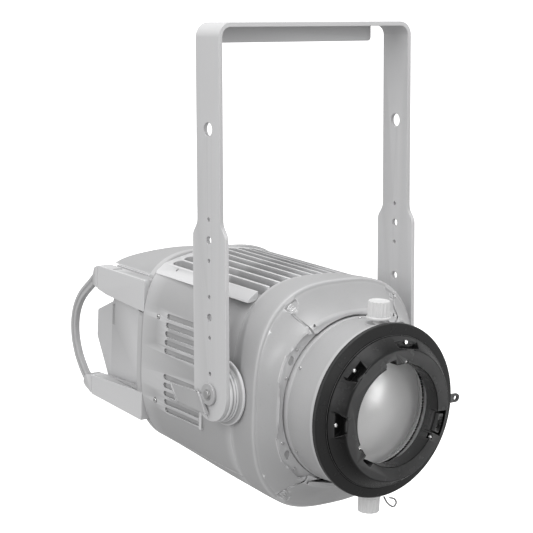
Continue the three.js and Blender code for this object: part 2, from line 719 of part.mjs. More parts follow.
// A ribbed grip on a skirt and neck, with the clamping screw that reaches in towards the carriage.
function buildKnob() {
  const ribs = 8;
  const stations = ribs * 4;
  const [crest, valley, gripDepth] = [17, 15.8, 24];
  const points = [];
  for (let i = 0; i < stations; i += 1) {
    const angle = i / stations * 2 * Math.PI;
    const radius = i % 4 < 2 ? crest : valley;
    points.push([radius * Math.cos(angle), radius * Math.sin(angle)]);
  }
  const [screwTip, neckFoot, skirtFoot, gripFoot] = [100, 131, 138, 142];
  const gripGeometry = new THREE.ExtrudeGeometry(outline(points), { depth: gripDepth, bevelEnabled: false });
  const grip = solid(gripGeometry).translate([0, 0, gripFoot]);
  const skirt = cylinderZ(18.5, skirtFoot, gripFoot + 0.5, 0, 0, 28);
  const neck = cylinderZ(8, neckFoot, skirtFoot + 0.5, 0, 0, 12);
  const screw = cylinderZ(5, screwTip, neckFoot + 0.5, 0, 0, 12);
  return union([grip, skirt, neck, screw]);
}

for (const [side, where] of [[1, 'top'], [-1, 'bottom']]) {
  const knob = node(head, `focus_knob_${where}`, 'knob', buildKnob());
  knob.position.set(0, KNOB_Y, -AXIS_DROP);
  knob.rotation.y = side > 0 ? 0 : Math.PI;
}

// ---- lens carriage ----
const carriageBore = LENS_RADIUS + 0.5;
const carriage = ringProfile(carriageBore, LENS_RADIUS + CARRIAGE_WALL, -181, -112);
node(head, 'lens_carriage', 'dark', turned(carriage, 40));
node(head, 'front_lens', 'glass', turned(lensProfile(LENS_RADIUS, 8, 9, 0, -160), 36));
node(head, 'rear_lens', 'glass', turned(lensProfile(LENS_RADIUS, 6, 0, 10, -128), 28));
node(head, 'lens_clip_ring', 'steel', turned(ringProfile(86, LENS_RADIUS, -178, -172), 40));

// ---- adapter ring ----
const PLUNGER_ANGLES = [82, 209, 328].map((a) => a * DEG);
const KEYWAY_ANGLES = [103, 229].map((a) => a * DEG);
const POCKET_ANGLES = [80, 136, 181, 277].map((a) => a * DEG);
const LATCH = { pivot: -6 * DEG, tip: -25 * DEG, inner: 84, outer: 93, front: -220.5, rear: -213 };

function buildAdapterRing() {
  const shoulder = 102;
  const grooveFloor = -195.5;
  const throatRear = -195;
  const profile = [[RING_OPENING, RING_FACE], [shoulder, RING_FACE], [shoulder + 2, RING_FACE + 1.5],
    [118, -198], [118, grooveFloor], [119.5, grooveFloor], [RING_OUTER - 1.5, -191], [RING_OUTER, -189],
    [RING_OUTER, RING_REAR], [108, RING_REAR], [100, throatRear], [RING_OPENING, throatRear],
    [RING_OPENING, RING_FACE]];
  const before = RING_FACE - 4;
  const tools = [];
  for (const angle of KEYWAY_ANGLES) tools.push(radialBox(70, 88, before, -200, 20, angle));
  for (const angle of POCKET_ANGLES) tools.push(radialBox(105, 116, before, -207, 22, angle));
  for (const angle of PLUNGER_ANGLES) tools.push(radialBox(70, 98, before, -213, 8.6, angle));
  const [slotStart, slotEnd] = [LATCH.pivot + 3 * DEG, LATCH.tip - 2 * DEG];
  tools.push(arcPlate(70, 98, before, LATCH.rear + 1, slotStart, slotEnd, 8));
  return cut(turned(profile, 48), tools);
}

node(head, 'adapter_ring', 'black', buildAdapterRing());

const PIN = { radius: 3, from: 80.5, to: 92, y: -217.5 };
for (const [i, angle] of PLUNGER_ANGLES.entries()) {
  node(head, `spring_plunger_${i + 1}`, 'steel', radialPin(PIN.radius, PIN.from, PIN.to, PIN.y, angle));
}

const latch = arcPlate(LATCH.inner, LATCH.outer, LATCH.front, LATCH.rear, LATCH.pivot, LATCH.tip, 6);
node(head, 'ring_latch', 'black', latch);

// A flat lug that stands out from the rim, with a hole for the safety cable.
function buildEye() {
  const [half, reach, bore] = [7, 12, 3.5];
  const shape = new THREE.Shape();
  shape.moveTo(0, -half);
  shape.lineTo(reach, -half);
  shape.absarc(reach, 0, half, -Math.PI / 2, Math.PI / 2, false);
  shape.lineTo(0, half);
  const hole = new THREE.Path();
  hole.absarc(reach - 1, 0, bore, 0, 2 * Math.PI, true);
  shape.holes.push(hole);
  return alongY(shape, -189, -185, 8).translate([RING_OUTER + GAP, 0, -AXIS_DROP]);
}

node(head, 'safety_eye', 'black', buildEye());

// A bent spring wire below the ring, given as (x, distance below the optical axis).
function buildWireClip() {
  const bends = [[10, 138.5], [18, 150], [30, 158], [36, 153], [32, 146], [22, 142]];
  const wireY = -187;
  const points = bends.map(([x, r]) => new THREE.Vector3(x, wireY, -AXIS_DROP - r));
  const section = new THREE.Shape();
  section.absarc(0, 0, 1.3, 0, 2 * Math.PI, false);
  const options = { steps: 18, curveSegments: 4, extrudePath: new THREE.CatmullRomCurve3(points) };
  return solid(new THREE.ExtrudeGeometry(section, options));
}

node(head, 'wire_clip', 'steel', buildWireClip());

export default spotlight;
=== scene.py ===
"""Looks of the profile spotlight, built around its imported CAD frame.

Shape functions work in millimetres. HEAD space has its origin on the tilt axis with +Y towards the rear.
ARMS space has the same origin but stands upright with the yoke. piece() turns both into the row frame.
"""

import json
import math

import bmesh
import bpy
from mathutils import Matrix, Vector


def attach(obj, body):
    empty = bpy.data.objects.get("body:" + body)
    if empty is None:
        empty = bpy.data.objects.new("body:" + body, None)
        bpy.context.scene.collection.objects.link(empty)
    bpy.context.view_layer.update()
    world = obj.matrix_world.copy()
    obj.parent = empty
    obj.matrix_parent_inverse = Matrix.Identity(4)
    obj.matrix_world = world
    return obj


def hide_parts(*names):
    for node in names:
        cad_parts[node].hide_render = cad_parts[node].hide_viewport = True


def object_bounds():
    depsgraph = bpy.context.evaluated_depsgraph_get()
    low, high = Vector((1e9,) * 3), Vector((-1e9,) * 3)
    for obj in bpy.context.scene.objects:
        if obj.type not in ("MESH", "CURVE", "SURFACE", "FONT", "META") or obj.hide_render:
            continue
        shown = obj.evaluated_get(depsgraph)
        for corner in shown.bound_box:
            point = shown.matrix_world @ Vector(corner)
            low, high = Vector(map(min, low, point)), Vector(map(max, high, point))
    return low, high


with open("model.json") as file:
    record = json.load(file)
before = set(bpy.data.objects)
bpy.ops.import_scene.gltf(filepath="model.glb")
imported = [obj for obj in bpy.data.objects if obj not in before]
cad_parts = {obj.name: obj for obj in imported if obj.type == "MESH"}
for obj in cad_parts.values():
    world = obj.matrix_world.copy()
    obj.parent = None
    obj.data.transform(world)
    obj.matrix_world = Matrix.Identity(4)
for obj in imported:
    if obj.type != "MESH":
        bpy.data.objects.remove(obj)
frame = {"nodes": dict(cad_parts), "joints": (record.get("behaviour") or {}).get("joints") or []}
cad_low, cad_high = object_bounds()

# ---- frames ----
MM = 0.001
JOINTS = {joint["name"]: joint for joint in frame["joints"]}
PIVOT = Vector(JOINTS["head_tilt"]["pos_m"])
REARWARD = Vector(JOINTS["lens_focus"]["axis"])
HEAD_TILT = math.atan2(REARWARD.z, REARWARD.y)
ARMS = Matrix.Translation(PIVOT) @ Matrix.Scale(MM, 4)
HEAD = Matrix.Translation(PIVOT) @ Matrix.Rotation(HEAD_TILT, 4, "X") @ Matrix.Scale(MM, 4)
YOKE_HEIGHT = -PIVOT.z / MM
AXIS_DROP = 6


def head_box(node):
    """Lowest and highest corner of a CAD node in head space, in millimetres."""
    back = HEAD.inverted()
    points = [back @ v.co for v in frame["nodes"][node].data.vertices]
    low = Vector([min(p[i] for p in points) for i in range(3)])
    high = Vector([max(p[i] for p in points) for i in range(3)])
    return low, high


# ---- dimensions shared by several pieces ----
FAR = 200
NOSE_SEAM = -72
BODY_FRONT = head_box("nose_casting")[1].y
NOSE_FRONT = head_box("nose_casting")[0].y
COVER_FRONT, COVER_REAR = head_box("bottom_cover")[0].y, head_box("bottom_cover")[1].y
FRAME_FRONT = head_box("rear_frame")[0].y
FRAME_REAR = FRAME_FRONT + 18
HOUSING_HALF = head_box("rear_housing")[1].x
WALL = 3
BEAM_IN, BEAM_OUT = 124, 150
BOLT_WAY = 8.5
BARREL_RADIUS = 130
RING_FACE = head_box("adapter_ring")[0].y
RING_REAR = head_box("adapter_ring")[1].y
RING_RIM = head_box("adapter_ring")[1].x
RING_OPENING = 79.4
KNOB_Y = -164
CORNERS = [(math.radians(a), turn) for a, turn in ((54, 1), (126, -1), (234, 1), (306, -1))]
SEAM_HALF = 1.6
PETAL_START = NOSE_SEAM - 3
PETAL_REACH = 34
PETAL_INSET = 2.6
PETAL_DISH = 3.2
PLUNGER_ANGLES = [math.radians(a) for a in (82, 209, 328)]
KEYWAY_ANGLES = [math.radians(a) for a in (103, 229)]
# Pockets of the ring: angle, outer and inner width in degrees, then inner and outer distance from the axis.
POCKETS = [(80, 26, 22, 104, 117), (136, 20, 14, 103, 118), (181, 22, 14, 101, 119), (277, 9, 9, 106, 116)]
PIN_Y = -217.5
POCKET_FLOOR = -206
LATCH_FROM, LATCH_TO = math.radians(-6), math.radians(-25)
FIN_PITCH = 22
FIN_COUNT = 11
FIN_THICK = 4
FIN_DEPTH = 13
FIN_CROWN = 170.5
FIN_ARC_RADIUS = 356
FIN_END = 235
ROOF_SEAM = head_box("finned_roof")[0].z
FLOOR_SEAM = head_box("bottom_cover")[1].z
VENT_ROWS = [80 - 14.2 * i for i in range(5)] + [-19.6 - 14.2 * i for i in range(5)]
VENT_FRONT, VENT_REAR, VENT_HEIGHT = 84, 184, 9
COVER_SCREWS = [(207, 75), (211, -67)]

SKY_LOW, SKY_HIGH = (0.45, 0.45, 0.45), (0.9, 0.9, 0.9)
# Lamps: direction as azimuth and elevation, distance and size in metres, power in watts.
LAMPS = {
    "key": ((-71, 21), 2.6, (0.14, 1.2), 14),
    "top": ((-25, 75), 2.4, (1.2, 1.2), 19),
    "front": ((6, 6), 3.0, (0.3, 0.7), 6),
    "kick": ((37.7, -12.4), 2.5, (0.22, 0.4), 3.6),
}
CAMERA_ANGLES = (-37.121, 8.064, -0.226)
CAMERA_FROM_PIVOT = Vector((-1.710615, -2.153969, 0.570384))
CAMERA_LENS = 118.58

FINE = 160
MEDIUM = 96
COARSE = 40


# ---- mesh tools ----
PLACE = {
    "X": lambda along, u, v: (along, u, v),
    "Y": lambda along, u, v: (u, along, v),
    "Z": lambda along, u, v: (u, v, along),
}


def mesh_from(verts, faces):
    bm = bmesh.new()
    made = [bm.verts.new(v) for v in verts]
    for face in faces:
        bm.faces.new([made[i] for i in face])
    bmesh.ops.remove_doubles(bm, verts=bm.verts, dist=1e-4)
    bmesh.ops.recalc_face_normals(bm, faces=bm.faces)
    return bm


def prism(points, axis, low, high):
    """An outline drawn across an axis: (y, z) across X, (x, z) across Y and (x, y) across Z."""
    place = PLACE[axis]
    n = len(points)
    verts = [place(a, u, v) for a in (low, high) for u, v in points]
    sides = [(i, (i + 1) % n, n + (i + 1) % n, n + i) for i in range(n)]
    return mesh_from(verts, [tuple(range(n)), tuple(range(n, 2 * n)), *sides])


def ring_faces(rings, n, closed=True):
    """Faces between neighbouring rings of n points each."""
    faces = []
    for i in range(rings if closed else rings - 1):
        j = (i + 1) % rings
        faces += [(i * n + k, i * n + (k + 1) % n, j * n + (k + 1) % n, j * n + k) for k in range(n)]
    return faces


def block(x0, x1, y0, y1, z0, z1):
    return prism([(x0, z0), (x1, z0), (x1, z1), (x0, z1)], "Y", y0, y1)


def circle(radius, u=0, v=0, count=COARSE):
    turns = [2 * math.pi * i / count for i in range(count)]
    return [(u + radius * math.cos(t), v + radius * math.sin(t)) for t in turns]


def disc(axis, radius, low, high, u=0, v=0, count=COARSE):
    return prism(circle(radius, u, v, count), axis, low, high)


def arc(u, v, radius, start, end, steps=8):
    """Points on an arc, with angles in degrees."""
    angles = [math.radians(start + (end - start) * i / steps) for i in range(steps + 1)]
    return [(u + radius * math.cos(a), v + radius * math.sin(a)) for a in angles]


def fillet(points, radius, steps=4):
    """A closed outline with its corners rounded."""
    out = []
    n = len(points)
    for i in range(n):
        here = Vector(points[i])
        before, after = Vector(points[i - 1]) - here, Vector(points[(i + 1) % n]) - here
        reach = min(radius, 0.45 * before.length, 0.45 * after.length)
        a, b = here + before.normalized() * reach, here + after.normalized() * reach
        for k in range(steps + 1):
            t = k / steps
            out.append(tuple(a * (1 - t) ** 2 + here * 2 * t * (1 - t) + b * t * t))
    return out


def stadium(u, v, half_length, half_height, steps=8):
    """A slot outline lying along u with round ends."""
    flat = half_length - half_height
    return arc(u + flat, v, half_height, -90, 90, steps) + arc(u - flat, v, half_height, 90, 270, steps)


def lathe(profile, axis="Y", centre=(0, -AXIS_DROP), count=FINE):
    """A closed profile of (radius, along) turned about a line parallel to an axis."""
    place = PLACE[axis]
    n = len(profile)
    verts = []
    for u, v in circle(1, count=count):
        verts += [place(a, centre[0] + r * u, centre[1] + r * v) for r, a in profile]
    return mesh_from(verts, ring_faces(count, n))


def mirrored(*places):
    """Places given on the right, and their mirror images on the left."""
    return [(side * x, z) for x, z in places for side in (-1, 1)]


def smooth(x, x0, x1):
    t = min(1, max(0, (x - x0) / (x1 - x0)))
    return t * t * (3 - 2 * t)


def mix(a, b, t):
    return a + (b - a) * t


# Half-widths, heights above and below the optical axis, and exponents of the housing's section.
FRONT_WIDE, BODY_WIDE, FACE_WIDE = 160, 152, 146
FRONT_HIGH, BODY_HIGH, TAIL_LOW, FACE_HIGH = 182, 176, 158, 141
BODY_POWER, REAR_POWER, FACE_POWER = 2.8, 3.6, 2.4


def section_point(angle, inset, y):
    """A point on the skin at that depth: a superellipse that narrows towards the nose and the tail."""
    body = smooth(y, NOSE_SEAM, 20)
    nose = min(1, max(0, (NOSE_SEAM - y) / (NOSE_SEAM - NOSE_FRONT)))
    dish = nose**0.8
    taper = smooth(y, -40, 310)
    wide = mix(mix(FRONT_WIDE, BODY_WIDE, body), FACE_WIDE, nose)
    rise = mix(mix(FRONT_HIGH, BODY_HIGH, body), FACE_HIGH, dish)
    drop = mix(mix(FRONT_HIGH, TAIL_LOW, taper), FACE_HIGH, dish)
    across, up = math.cos(angle), math.sin(angle)
    squared = smooth(y, 20, FRAME_FRONT) if up >= 0 else 0
    power = mix(mix(BODY_POWER, REAR_POWER, squared), FACE_POWER, nose)
    half = (rise if up >= 0 else drop) - inset
    x = math.copysign(abs(across) ** (2 / power), across) * (wide - inset)
    z = math.copysign(abs(up) ** (2 / power), up) * half
    return x, y, z - AXIS_DROP


def swept(profile, count=192):
    """A closed profile of (inset, y) swept round the housing's section."""
    n = len(profile)
    verts = []
    for i in range(count):
        angle = 2 * math.pi * i / count
        verts += [section_point(angle, inset, y) for inset, y in profile]
    return mesh_from(verts, ring_faces(count, n))


def tube(points, section):
    """A section of (sideways, up) offsets swept along points in one plane of constant x or y."""
    path = [Vector(p) for p in points]
    n = len(section)
    spread = [max(p[i] for p in path) - min(p[i] for p in path) for i in range(3)]
    across = Vector([1.0 if i == spread.index(min(spread)) else 0.0 for i in range(3)])
    verts = []
    for i, p in enumerate(path):
        ahead = path[i + 1] if i + 1 < len(path) else p
        behind = path[i - 1] if i else p
        normal = across.cross((ahead - behind).normalized())
        verts += [p + across * u + normal * v for u, v in section]
    ends = [tuple(range(n)), tuple(range(len(verts) - n, len(verts)))]
    return mesh_from(verts, ring_faces(len(path), n, closed=False) + ends)


def polar(radius, angle):
    return radius * math.cos(angle), -AXIS_DROP + radius * math.sin(angle)


def turn_about_beam(bm, angle):
    """Turns a mesh drawn along +X about the optical axis."""
    move = Matrix.Translation((0, 0, -AXIS_DROP)) @ Matrix.Rotation(-angle, 4, "Y")
    bmesh.ops.transform(bm, matrix=move, verts=bm.verts)
    return bm


def radial_prism(outline, y0, y1, angle):
    """An outline of (radius, sideways) standing across the beam, from y0 to y1."""
    return turn_about_beam(prism(outline, "Y", y0, y1), angle)


def radial_pin(profile, y, angle, count=COARSE):
    """A turned pin along a radius: its profile is (pin radius, distance from the optical axis)."""
    return turn_about_beam(lathe(profile, "X", (y, 0), count), angle)


def sector(r0, r1, angle0, angle1, steps=12):
    """Outline of an arc-shaped plate about the optical axis, as (x, z)."""
    outer = [polar(r1, mix(angle0, angle1, i / steps)) for i in range(steps + 1)]
    inner = [polar(r0, mix(angle1, angle0, i / steps)) for i in range(steps + 1)]
    return outer + inner


def flowing(points, steps=8):
    """A smooth curve through a few bends in a plane."""
    out = []
    for i in range(len(points) - 1):
        before, here = Vector(points[max(i - 1, 0)]), Vector(points[i])
        there, after = Vector(points[i + 1]), Vector(points[min(i + 2, len(points) - 1)])
        for k in range(steps):
            t = k / steps
            pull = (2 * before - 5 * here + 4 * there - after) * t * t
            twist = (3 * here - before - 3 * there + after) * t**3
            out.append(tuple(0.5 * (2 * here + (there - before) * t + pull + twist)))
    return [*out, points[-1]]


def as_object(bm):
    mesh = bpy.data.meshes.new("work")
    bm.to_mesh(mesh)
    bm.free()
    obj = bpy.data.objects.new("work", mesh)
    bpy.context.scene.collection.objects.link(obj)
    return obj


def combine(base, tools, operation):
    body = as_object(base)
    others = [as_object(tool) for tool in tools]
    for other in others:
        step = body.modifiers.new("combine", "BOOLEAN")
        step.operation = operation
        step.object = other
        step.solver = "MANIFOLD"
    bpy.context.view_layer.update()
    shown = body.evaluated_get(bpy.context.evaluated_depsgraph_get())
    mesh = bpy.data.meshes.new_from_object(shown)
    result = bmesh.new()
    result.from_mesh(mesh)
    bpy.data.meshes.remove(mesh)
    for obj in [body, *others]:
        data = obj.data
        bpy.data.objects.remove(obj)
        bpy.data.meshes.remove(data)
    return result


def cut(base, tools):
    return combine(base, tools, "DIFFERENCE")


def join(base, tools):
    return combine(base, tools, "UNION")


def overlap(base, tool):
    return combine(base, [tool], "INTERSECT")


def pile(*parts):
    """Several closed bodies in one mesh."""
    whole = bmesh.new()
    for part in parts:
        mesh = bpy.data.meshes.new("work")
        part.to_mesh(mesh)
        part.free()
        whole.from_mesh(mesh)
        bpy.data.meshes.remove(mesh)
    return whole


def piece(name, bm, body, finish, replaces=(), space=HEAD, bevel=0.6, corner=32, move=None):
    """A finished piece: flat faces merged, sharp edges bevelled, in the row frame and on its body."""
    bmesh.ops.remove_doubles(bm, verts=bm.verts, dist=0.004)
    bmesh.ops.dissolve_limit(bm, angle_limit=math.radians(0.08), verts=bm.verts, edges=bm.edges)
    if bevel:
        limit = math.radians(corner)
        sharp = [e for e in bm.edges if len(e.link_faces) == 2 and e.calc_face_angle(0) > limit]
        bmesh.ops.bevel(bm, geom=sharp, offset=bevel, segments=2, profile=0.5, affect="EDGES",
                        clamp_overlap=False)
    bm.transform(space @ move if move else space)
    mesh = bpy.data.meshes.new(name)
    bm.to_mesh(mesh)
    bm.free()
    mesh.shade_smooth()
    mesh.set_sharp_from_angle(angle=math.radians(38))
    mesh.materials.append(finish["material"])
    obj = bpy.data.objects.new(name, mesh)
    bpy.context.scene.collection.objects.link(obj)
    even = obj.modifiers.new("even_shading", "WEIGHTED_NORMAL")
    even.keep_sharp = True
    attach(obj, body)
    if replaces:
        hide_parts(*([replaces] if isinstance(replaces, str) else replaces))
    return obj


# ---- materials ----
def blank_material(name):
    material = bpy.data.materials.new(name)
    material.use_nodes = True
    nodes, links = material.node_tree.nodes, material.node_tree.links
    shader = nodes["Principled BSDF"]
    where = nodes.new("ShaderNodeTexCoord")
    return material, nodes, links, shader, where


def noise(nodes, links, where, scale, detail=3, roughness=0.5):
    texture = nodes.new("ShaderNodeTexNoise")
    texture.inputs["Scale"].default_value = scale
    texture.inputs["Detail"].default_value = detail
    texture.inputs["Roughness"].default_value = roughness
    links.new(where.outputs["Object"], texture.inputs["Vector"])
    return texture.outputs["Fac"]


def ramp(nodes, links, value, low, high, colours):
    made = nodes.new("ShaderNodeValToRGB")
    made.color_ramp.elements[0].position = low
    made.color_ramp.elements[1].position = high
    made.color_ramp.elements[0].color = (*colours[0], 1)
    made.color_ramp.elements[1].color = (*colours[1], 1)
    links.new(value, made.inputs["Fac"])
    return made.outputs["Color"]


def blend_colour(nodes, links, factor, a, b):
    made = nodes.new("ShaderNodeMix")
    made.data_type = "RGBA"
    links.new(factor, made.inputs["Factor"])
    links.new(a, made.inputs["A"])
    if isinstance(b, tuple):
        made.inputs["B"].default_value = (*b, 1)
    else:
        links.new(b, made.inputs["B"])
    return made.outputs["Result"]


def spread(nodes, links, value, low, high):
    made = nodes.new("ShaderNodeMapRange")
    made.inputs["To Min"].default_value = low
    made.inputs["To Max"].default_value = high
    links.new(value, made.inputs["Value"])
    return made.outputs["Result"]


def bump(nodes, links, shader, height, strength, distance):
    made = nodes.new("ShaderNodeBump")
    made.inputs["Strength"].default_value = strength
    made.inputs["Distance"].default_value = distance
    links.new(height, made.inputs["Height"])
    links.new(made.outputs["Normal"], shader.inputs["Normal"])


def shade(value, tint=(1, 1, 1)):
    return tuple(value * t for t in tint)


COOL = (1, 1, 1.01)
STREAKS = (40, 900, 900)


def paint(name, slot, level, edge_highlight, rough=(0.38, 0.52), grain=(900, 0.12, 0.0004), fleck=0.86, sheen=0.5):
    """Powder coat: slow colour drift, a fine stipple, and sharp edges painted lighter as a painted
    highlight.
    """
    material, nodes, links, shader, where = blank_material(name)
    drift = noise(nodes, links, where, 9, detail=4)
    base = ramp(nodes, links, drift, 0.3, 0.7, (shade(level * 0.96, COOL), shade(level * 1.04, COOL)))
    speck = noise(nodes, links, where, 420, detail=2)
    spots = ramp(nodes, links, speck, 0.58, 0.72, (shade(0), shade(0.35)))
    speckled = blend_colour(nodes, links, spots, base, shade(level * fleck, COOL))
    # Painted highlight: where the mesh is sharp (high pointiness), the colour is painted lighter along the
    # edges.
    edge = nodes.new("ShaderNodeNewGeometry")
    edge_highlight_mask = ramp(nodes, links, edge.outputs["Pointiness"], 0.51, 0.57, (shade(0), shade(0.85)))
    colour = blend_colour(nodes, links, edge_highlight_mask, speckled, shade(edge_highlight, COOL))
    links.new(colour, shader.inputs["Base Color"])
    patches = noise(nodes, links, where, 60, detail=5)
    links.new(spread(nodes, links, patches, *rough), shader.inputs["Roughness"])
    shader.inputs["Specular IOR Level"].default_value = sheen
    bump(nodes, links, shader, noise(nodes, links, where, grain[0], detail=2), grain[1], grain[2])
    return {"material": material, "slot": slot}


def plastic(name, slot, level, rough):
    """Moulded plastic: spark-eroded grain and faint flow marks."""
    material, nodes, links, shader, where = blank_material(name)
    flow = noise(nodes, links, where, 25, detail=5, roughness=0.6)
    links.new(ramp(nodes, links, flow, 0.3, 0.7, (shade(level * 0.93), shade(level * 1.06))),
              shader.inputs["Base Color"])
    links.new(spread(nodes, links, noise(nodes, links, where, 120), rough - 0.06, rough + 0.08),
              shader.inputs["Roughness"])
    cells = nodes.new("ShaderNodeTexVoronoi")
    cells.inputs["Scale"].default_value = 1400
    links.new(where.outputs["Object"], cells.inputs["Vector"])
    bump(nodes, links, shader, cells.outputs["Distance"], 0.1, 0.0003)
    return {"material": material, "slot": slot}


def metal(name, slot, level, rough):
    """Ground or plated metal: fine streaks along one axis."""
    material, nodes, links, shader, where = blank_material(name)
    stretch = nodes.new("ShaderNodeMapping")
    stretch.inputs["Scale"].default_value = STREAKS
    links.new(where.outputs["Object"], stretch.inputs["Vector"])
    lines = nodes.new("ShaderNodeTexNoise")
    lines.inputs["Scale"].default_value = 1.0
    lines.inputs["Detail"].default_value = 3
    links.new(stretch.outputs["Vector"], lines.inputs["Vector"])
    streaks = lines.outputs["Fac"]
    links.new(ramp(nodes, links, streaks, 0.3, 0.7, (shade(level * 0.85), shade(level))),
              shader.inputs["Base Color"])
    shader.inputs["Metallic"].default_value = 1.0
    links.new(spread(nodes, links, streaks, rough - 0.08, rough + 0.1), shader.inputs["Roughness"])
    bump(nodes, links, shader, streaks, 0.08, 0.0002)
    return {"material": material, "slot": slot}


def lens_glass(name, level, rough, clear, pebble):
    """Optical glass. A pebbled back face scatters the light, so it looks pale."""
    material, nodes, links, shader, where = blank_material(name)
    haze = noise(nodes, links, where, 30, detail=3)
    links.new(ramp(nodes, links, haze, 0.3, 0.75, (shade(level * 0.96), shade(level))),
              shader.inputs["Base Color"])
    shader.inputs["Transmission Weight"].default_value = clear
    shader.inputs["IOR"].default_value = 1.5
    links.new(spread(nodes, links, haze, max(0, rough - 0.02), rough + 0.03), shader.inputs["Roughness"])
    cells = nodes.new("ShaderNodeTexVoronoi")
    cells.inputs["Scale"].default_value = 520
    links.new(where.outputs["Object"], cells.inputs["Vector"])
    bump(nodes, links, shader, cells.outputs["Distance"], pebble, 0.0006)
    return {"material": material, "slot": "glass"}


def circuit_board(name):
    material, nodes, links, shader, where = blank_material(name)
    tracks = nodes.new("ShaderNodeTexBrick")
    tracks.inputs["Scale"].default_value = 90
    tracks.inputs["Mortar Size"].default_value = 0.05
    tracks.inputs["Color1"].default_value = (0.02, 0.13, 0.05, 1)
    tracks.inputs["Color2"].default_value = (0.03, 0.17, 0.06, 1)
    tracks.inputs["Mortar"].default_value = (0.45, 0.36, 0.12, 1)
    links.new(where.outputs["Object"], tracks.inputs["Vector"])
    links.new(tracks.outputs["Color"], shader.inputs["Base Color"])
    links.new(spread(nodes, links, noise(nodes, links, where, 80), 0.35, 0.5), shader.inputs["Roughness"])
    bump(nodes, links, shader, tracks.outputs["Fac"], 0.2, 0.0002)
    return {"material": material, "slot": "board_green"}


# The fourth value of each paint is the tone of the painted highlight along its sharp edges.
HOUSING = paint("housing_coat", "housing_paint", 0.43, 0.86, rough=(0.3, 0.42))
YOKE = paint("yoke_coat", "yoke_paint", 0.42, 0.8)
VENT = paint("vent_duct_coat", "housing_paint", 0.38, 0.5)
KNOB = plastic("knob_moulding", "knob_plastic", 0.74, 0.42)
BLACK = paint("ring_coat", "ring_black", 0.004, 0.16, rough=(0.2, 0.32), grain=(620, 0.4, 0.0007), fleck=3,
              sheen=0.2)
STEEL = metal("plated_steel", "steel", 0.72, 0.24)
DULL = metal("dull_zinc", "steel", 0.55, 0.45)
ALUMINIUM = metal("anodised_aluminium", "aluminium", 0.6, 0.36)
DARK = plastic("dark_moulding", "dark_plastic", 0.2, 0.5)
GLASS = lens_glass("front_glass", 0.99, 0.06, 0.3, 0.12)
FROSTED = lens_glass("pebbled_glass", 0.95, 0.3, 0.08, 0.5)
SPRING = metal("spring_steel", "steel", 0.3, 0.3)
PALE = paint("carriage_coat", "housing_paint", 0.7, 0.8)
BOARD = circuit_board("circuit_board")
WINDOW = plastic("display_pane", "glass", 0.12, 0.12)


# ---- yoke and its pivots ----
def bezier(p0, p1, p2, p3, steps=8):
    out = []
    for i in range(steps + 1):
        t = i / steps
        s = 1 - t
        out.append(tuple(s**3 * a + 3 * s * s * t * b + 3 * s * t * t * c + t**3 * d
                         for a, b, c, d in zip(p0, p1, p2, p3)))
    return out


def arm_outline():
    narrow, wide = 30, 42.5
    low, high = 240, 268
    left = bezier((-narrow, high), (-narrow, high - 12), (-wide, low + 12), (-wide, low))
    foot = arc(0, 0, wide, 180, 360, 40)
    right = bezier((wide, low), (wide, low + 12), (narrow, high - 12), (narrow, high))
    return [(-narrow, YOKE_HEIGHT), *left, *foot, *right, (narrow, YOKE_HEIGHT)]


def strip_outline():
    out, plate, bend = 190, 7, 22
    inner, low, top = out - plate, -90, YOKE_HEIGHT
    tight = bend - plate
    inside = arc(-out + bend, top - bend, tight, 180, 90) + arc(out - bend, top - bend, tight, 90, 0)
    outside = arc(out - bend, top - bend, bend, 0, 90) + arc(-out + bend, top - bend, bend, 90, 180)
    return [(-inner, low), *inside, (inner, low), (out, low), *outside, (-out, low)]


def build_yoke():
    band = overlap(prism(strip_outline(), "Y", -50, 50), prism(arm_outline(), "X", -FAR, FAR))
    top, end = YOKE_HEIGHT, 152
    corners = arc(-end + 6, top - 25, 6, 180, 270) + arc(end - 6, top - 25, 6, 270, 360)
    flange = [(-end, top - 2), *corners, (end, top - 2)]
    body = join(band, [prism(flange, "Y", 25, 30)])
    pitch = 118.6
    holes = [(8, 0), (10.5, 405), (6, pitch), (6, 2 * pitch)]
    holes += [(3, level * pitch + 31.5) for level in range(3)]
    holes += [(3, level * pitch - 31.5) for level in (1, 2)]
    tools = [disc("X", radius, -FAR, FAR, 0, height, COARSE) for radius, height in holes]
    tools.append(disc("X", 6, 0, 200, 0, pitch + 31.5, COARSE))
    tools += [disc("Z", 6.5, top - 10, top + 5, x, 0) for x in (-30, 30)]
    piece("yoke_frame", cut(body, tools), "yoke", YOKE, "yoke", ARMS, bevel=0.9)


def spans(side, near, far):
    return sorted((side * near, side * far))


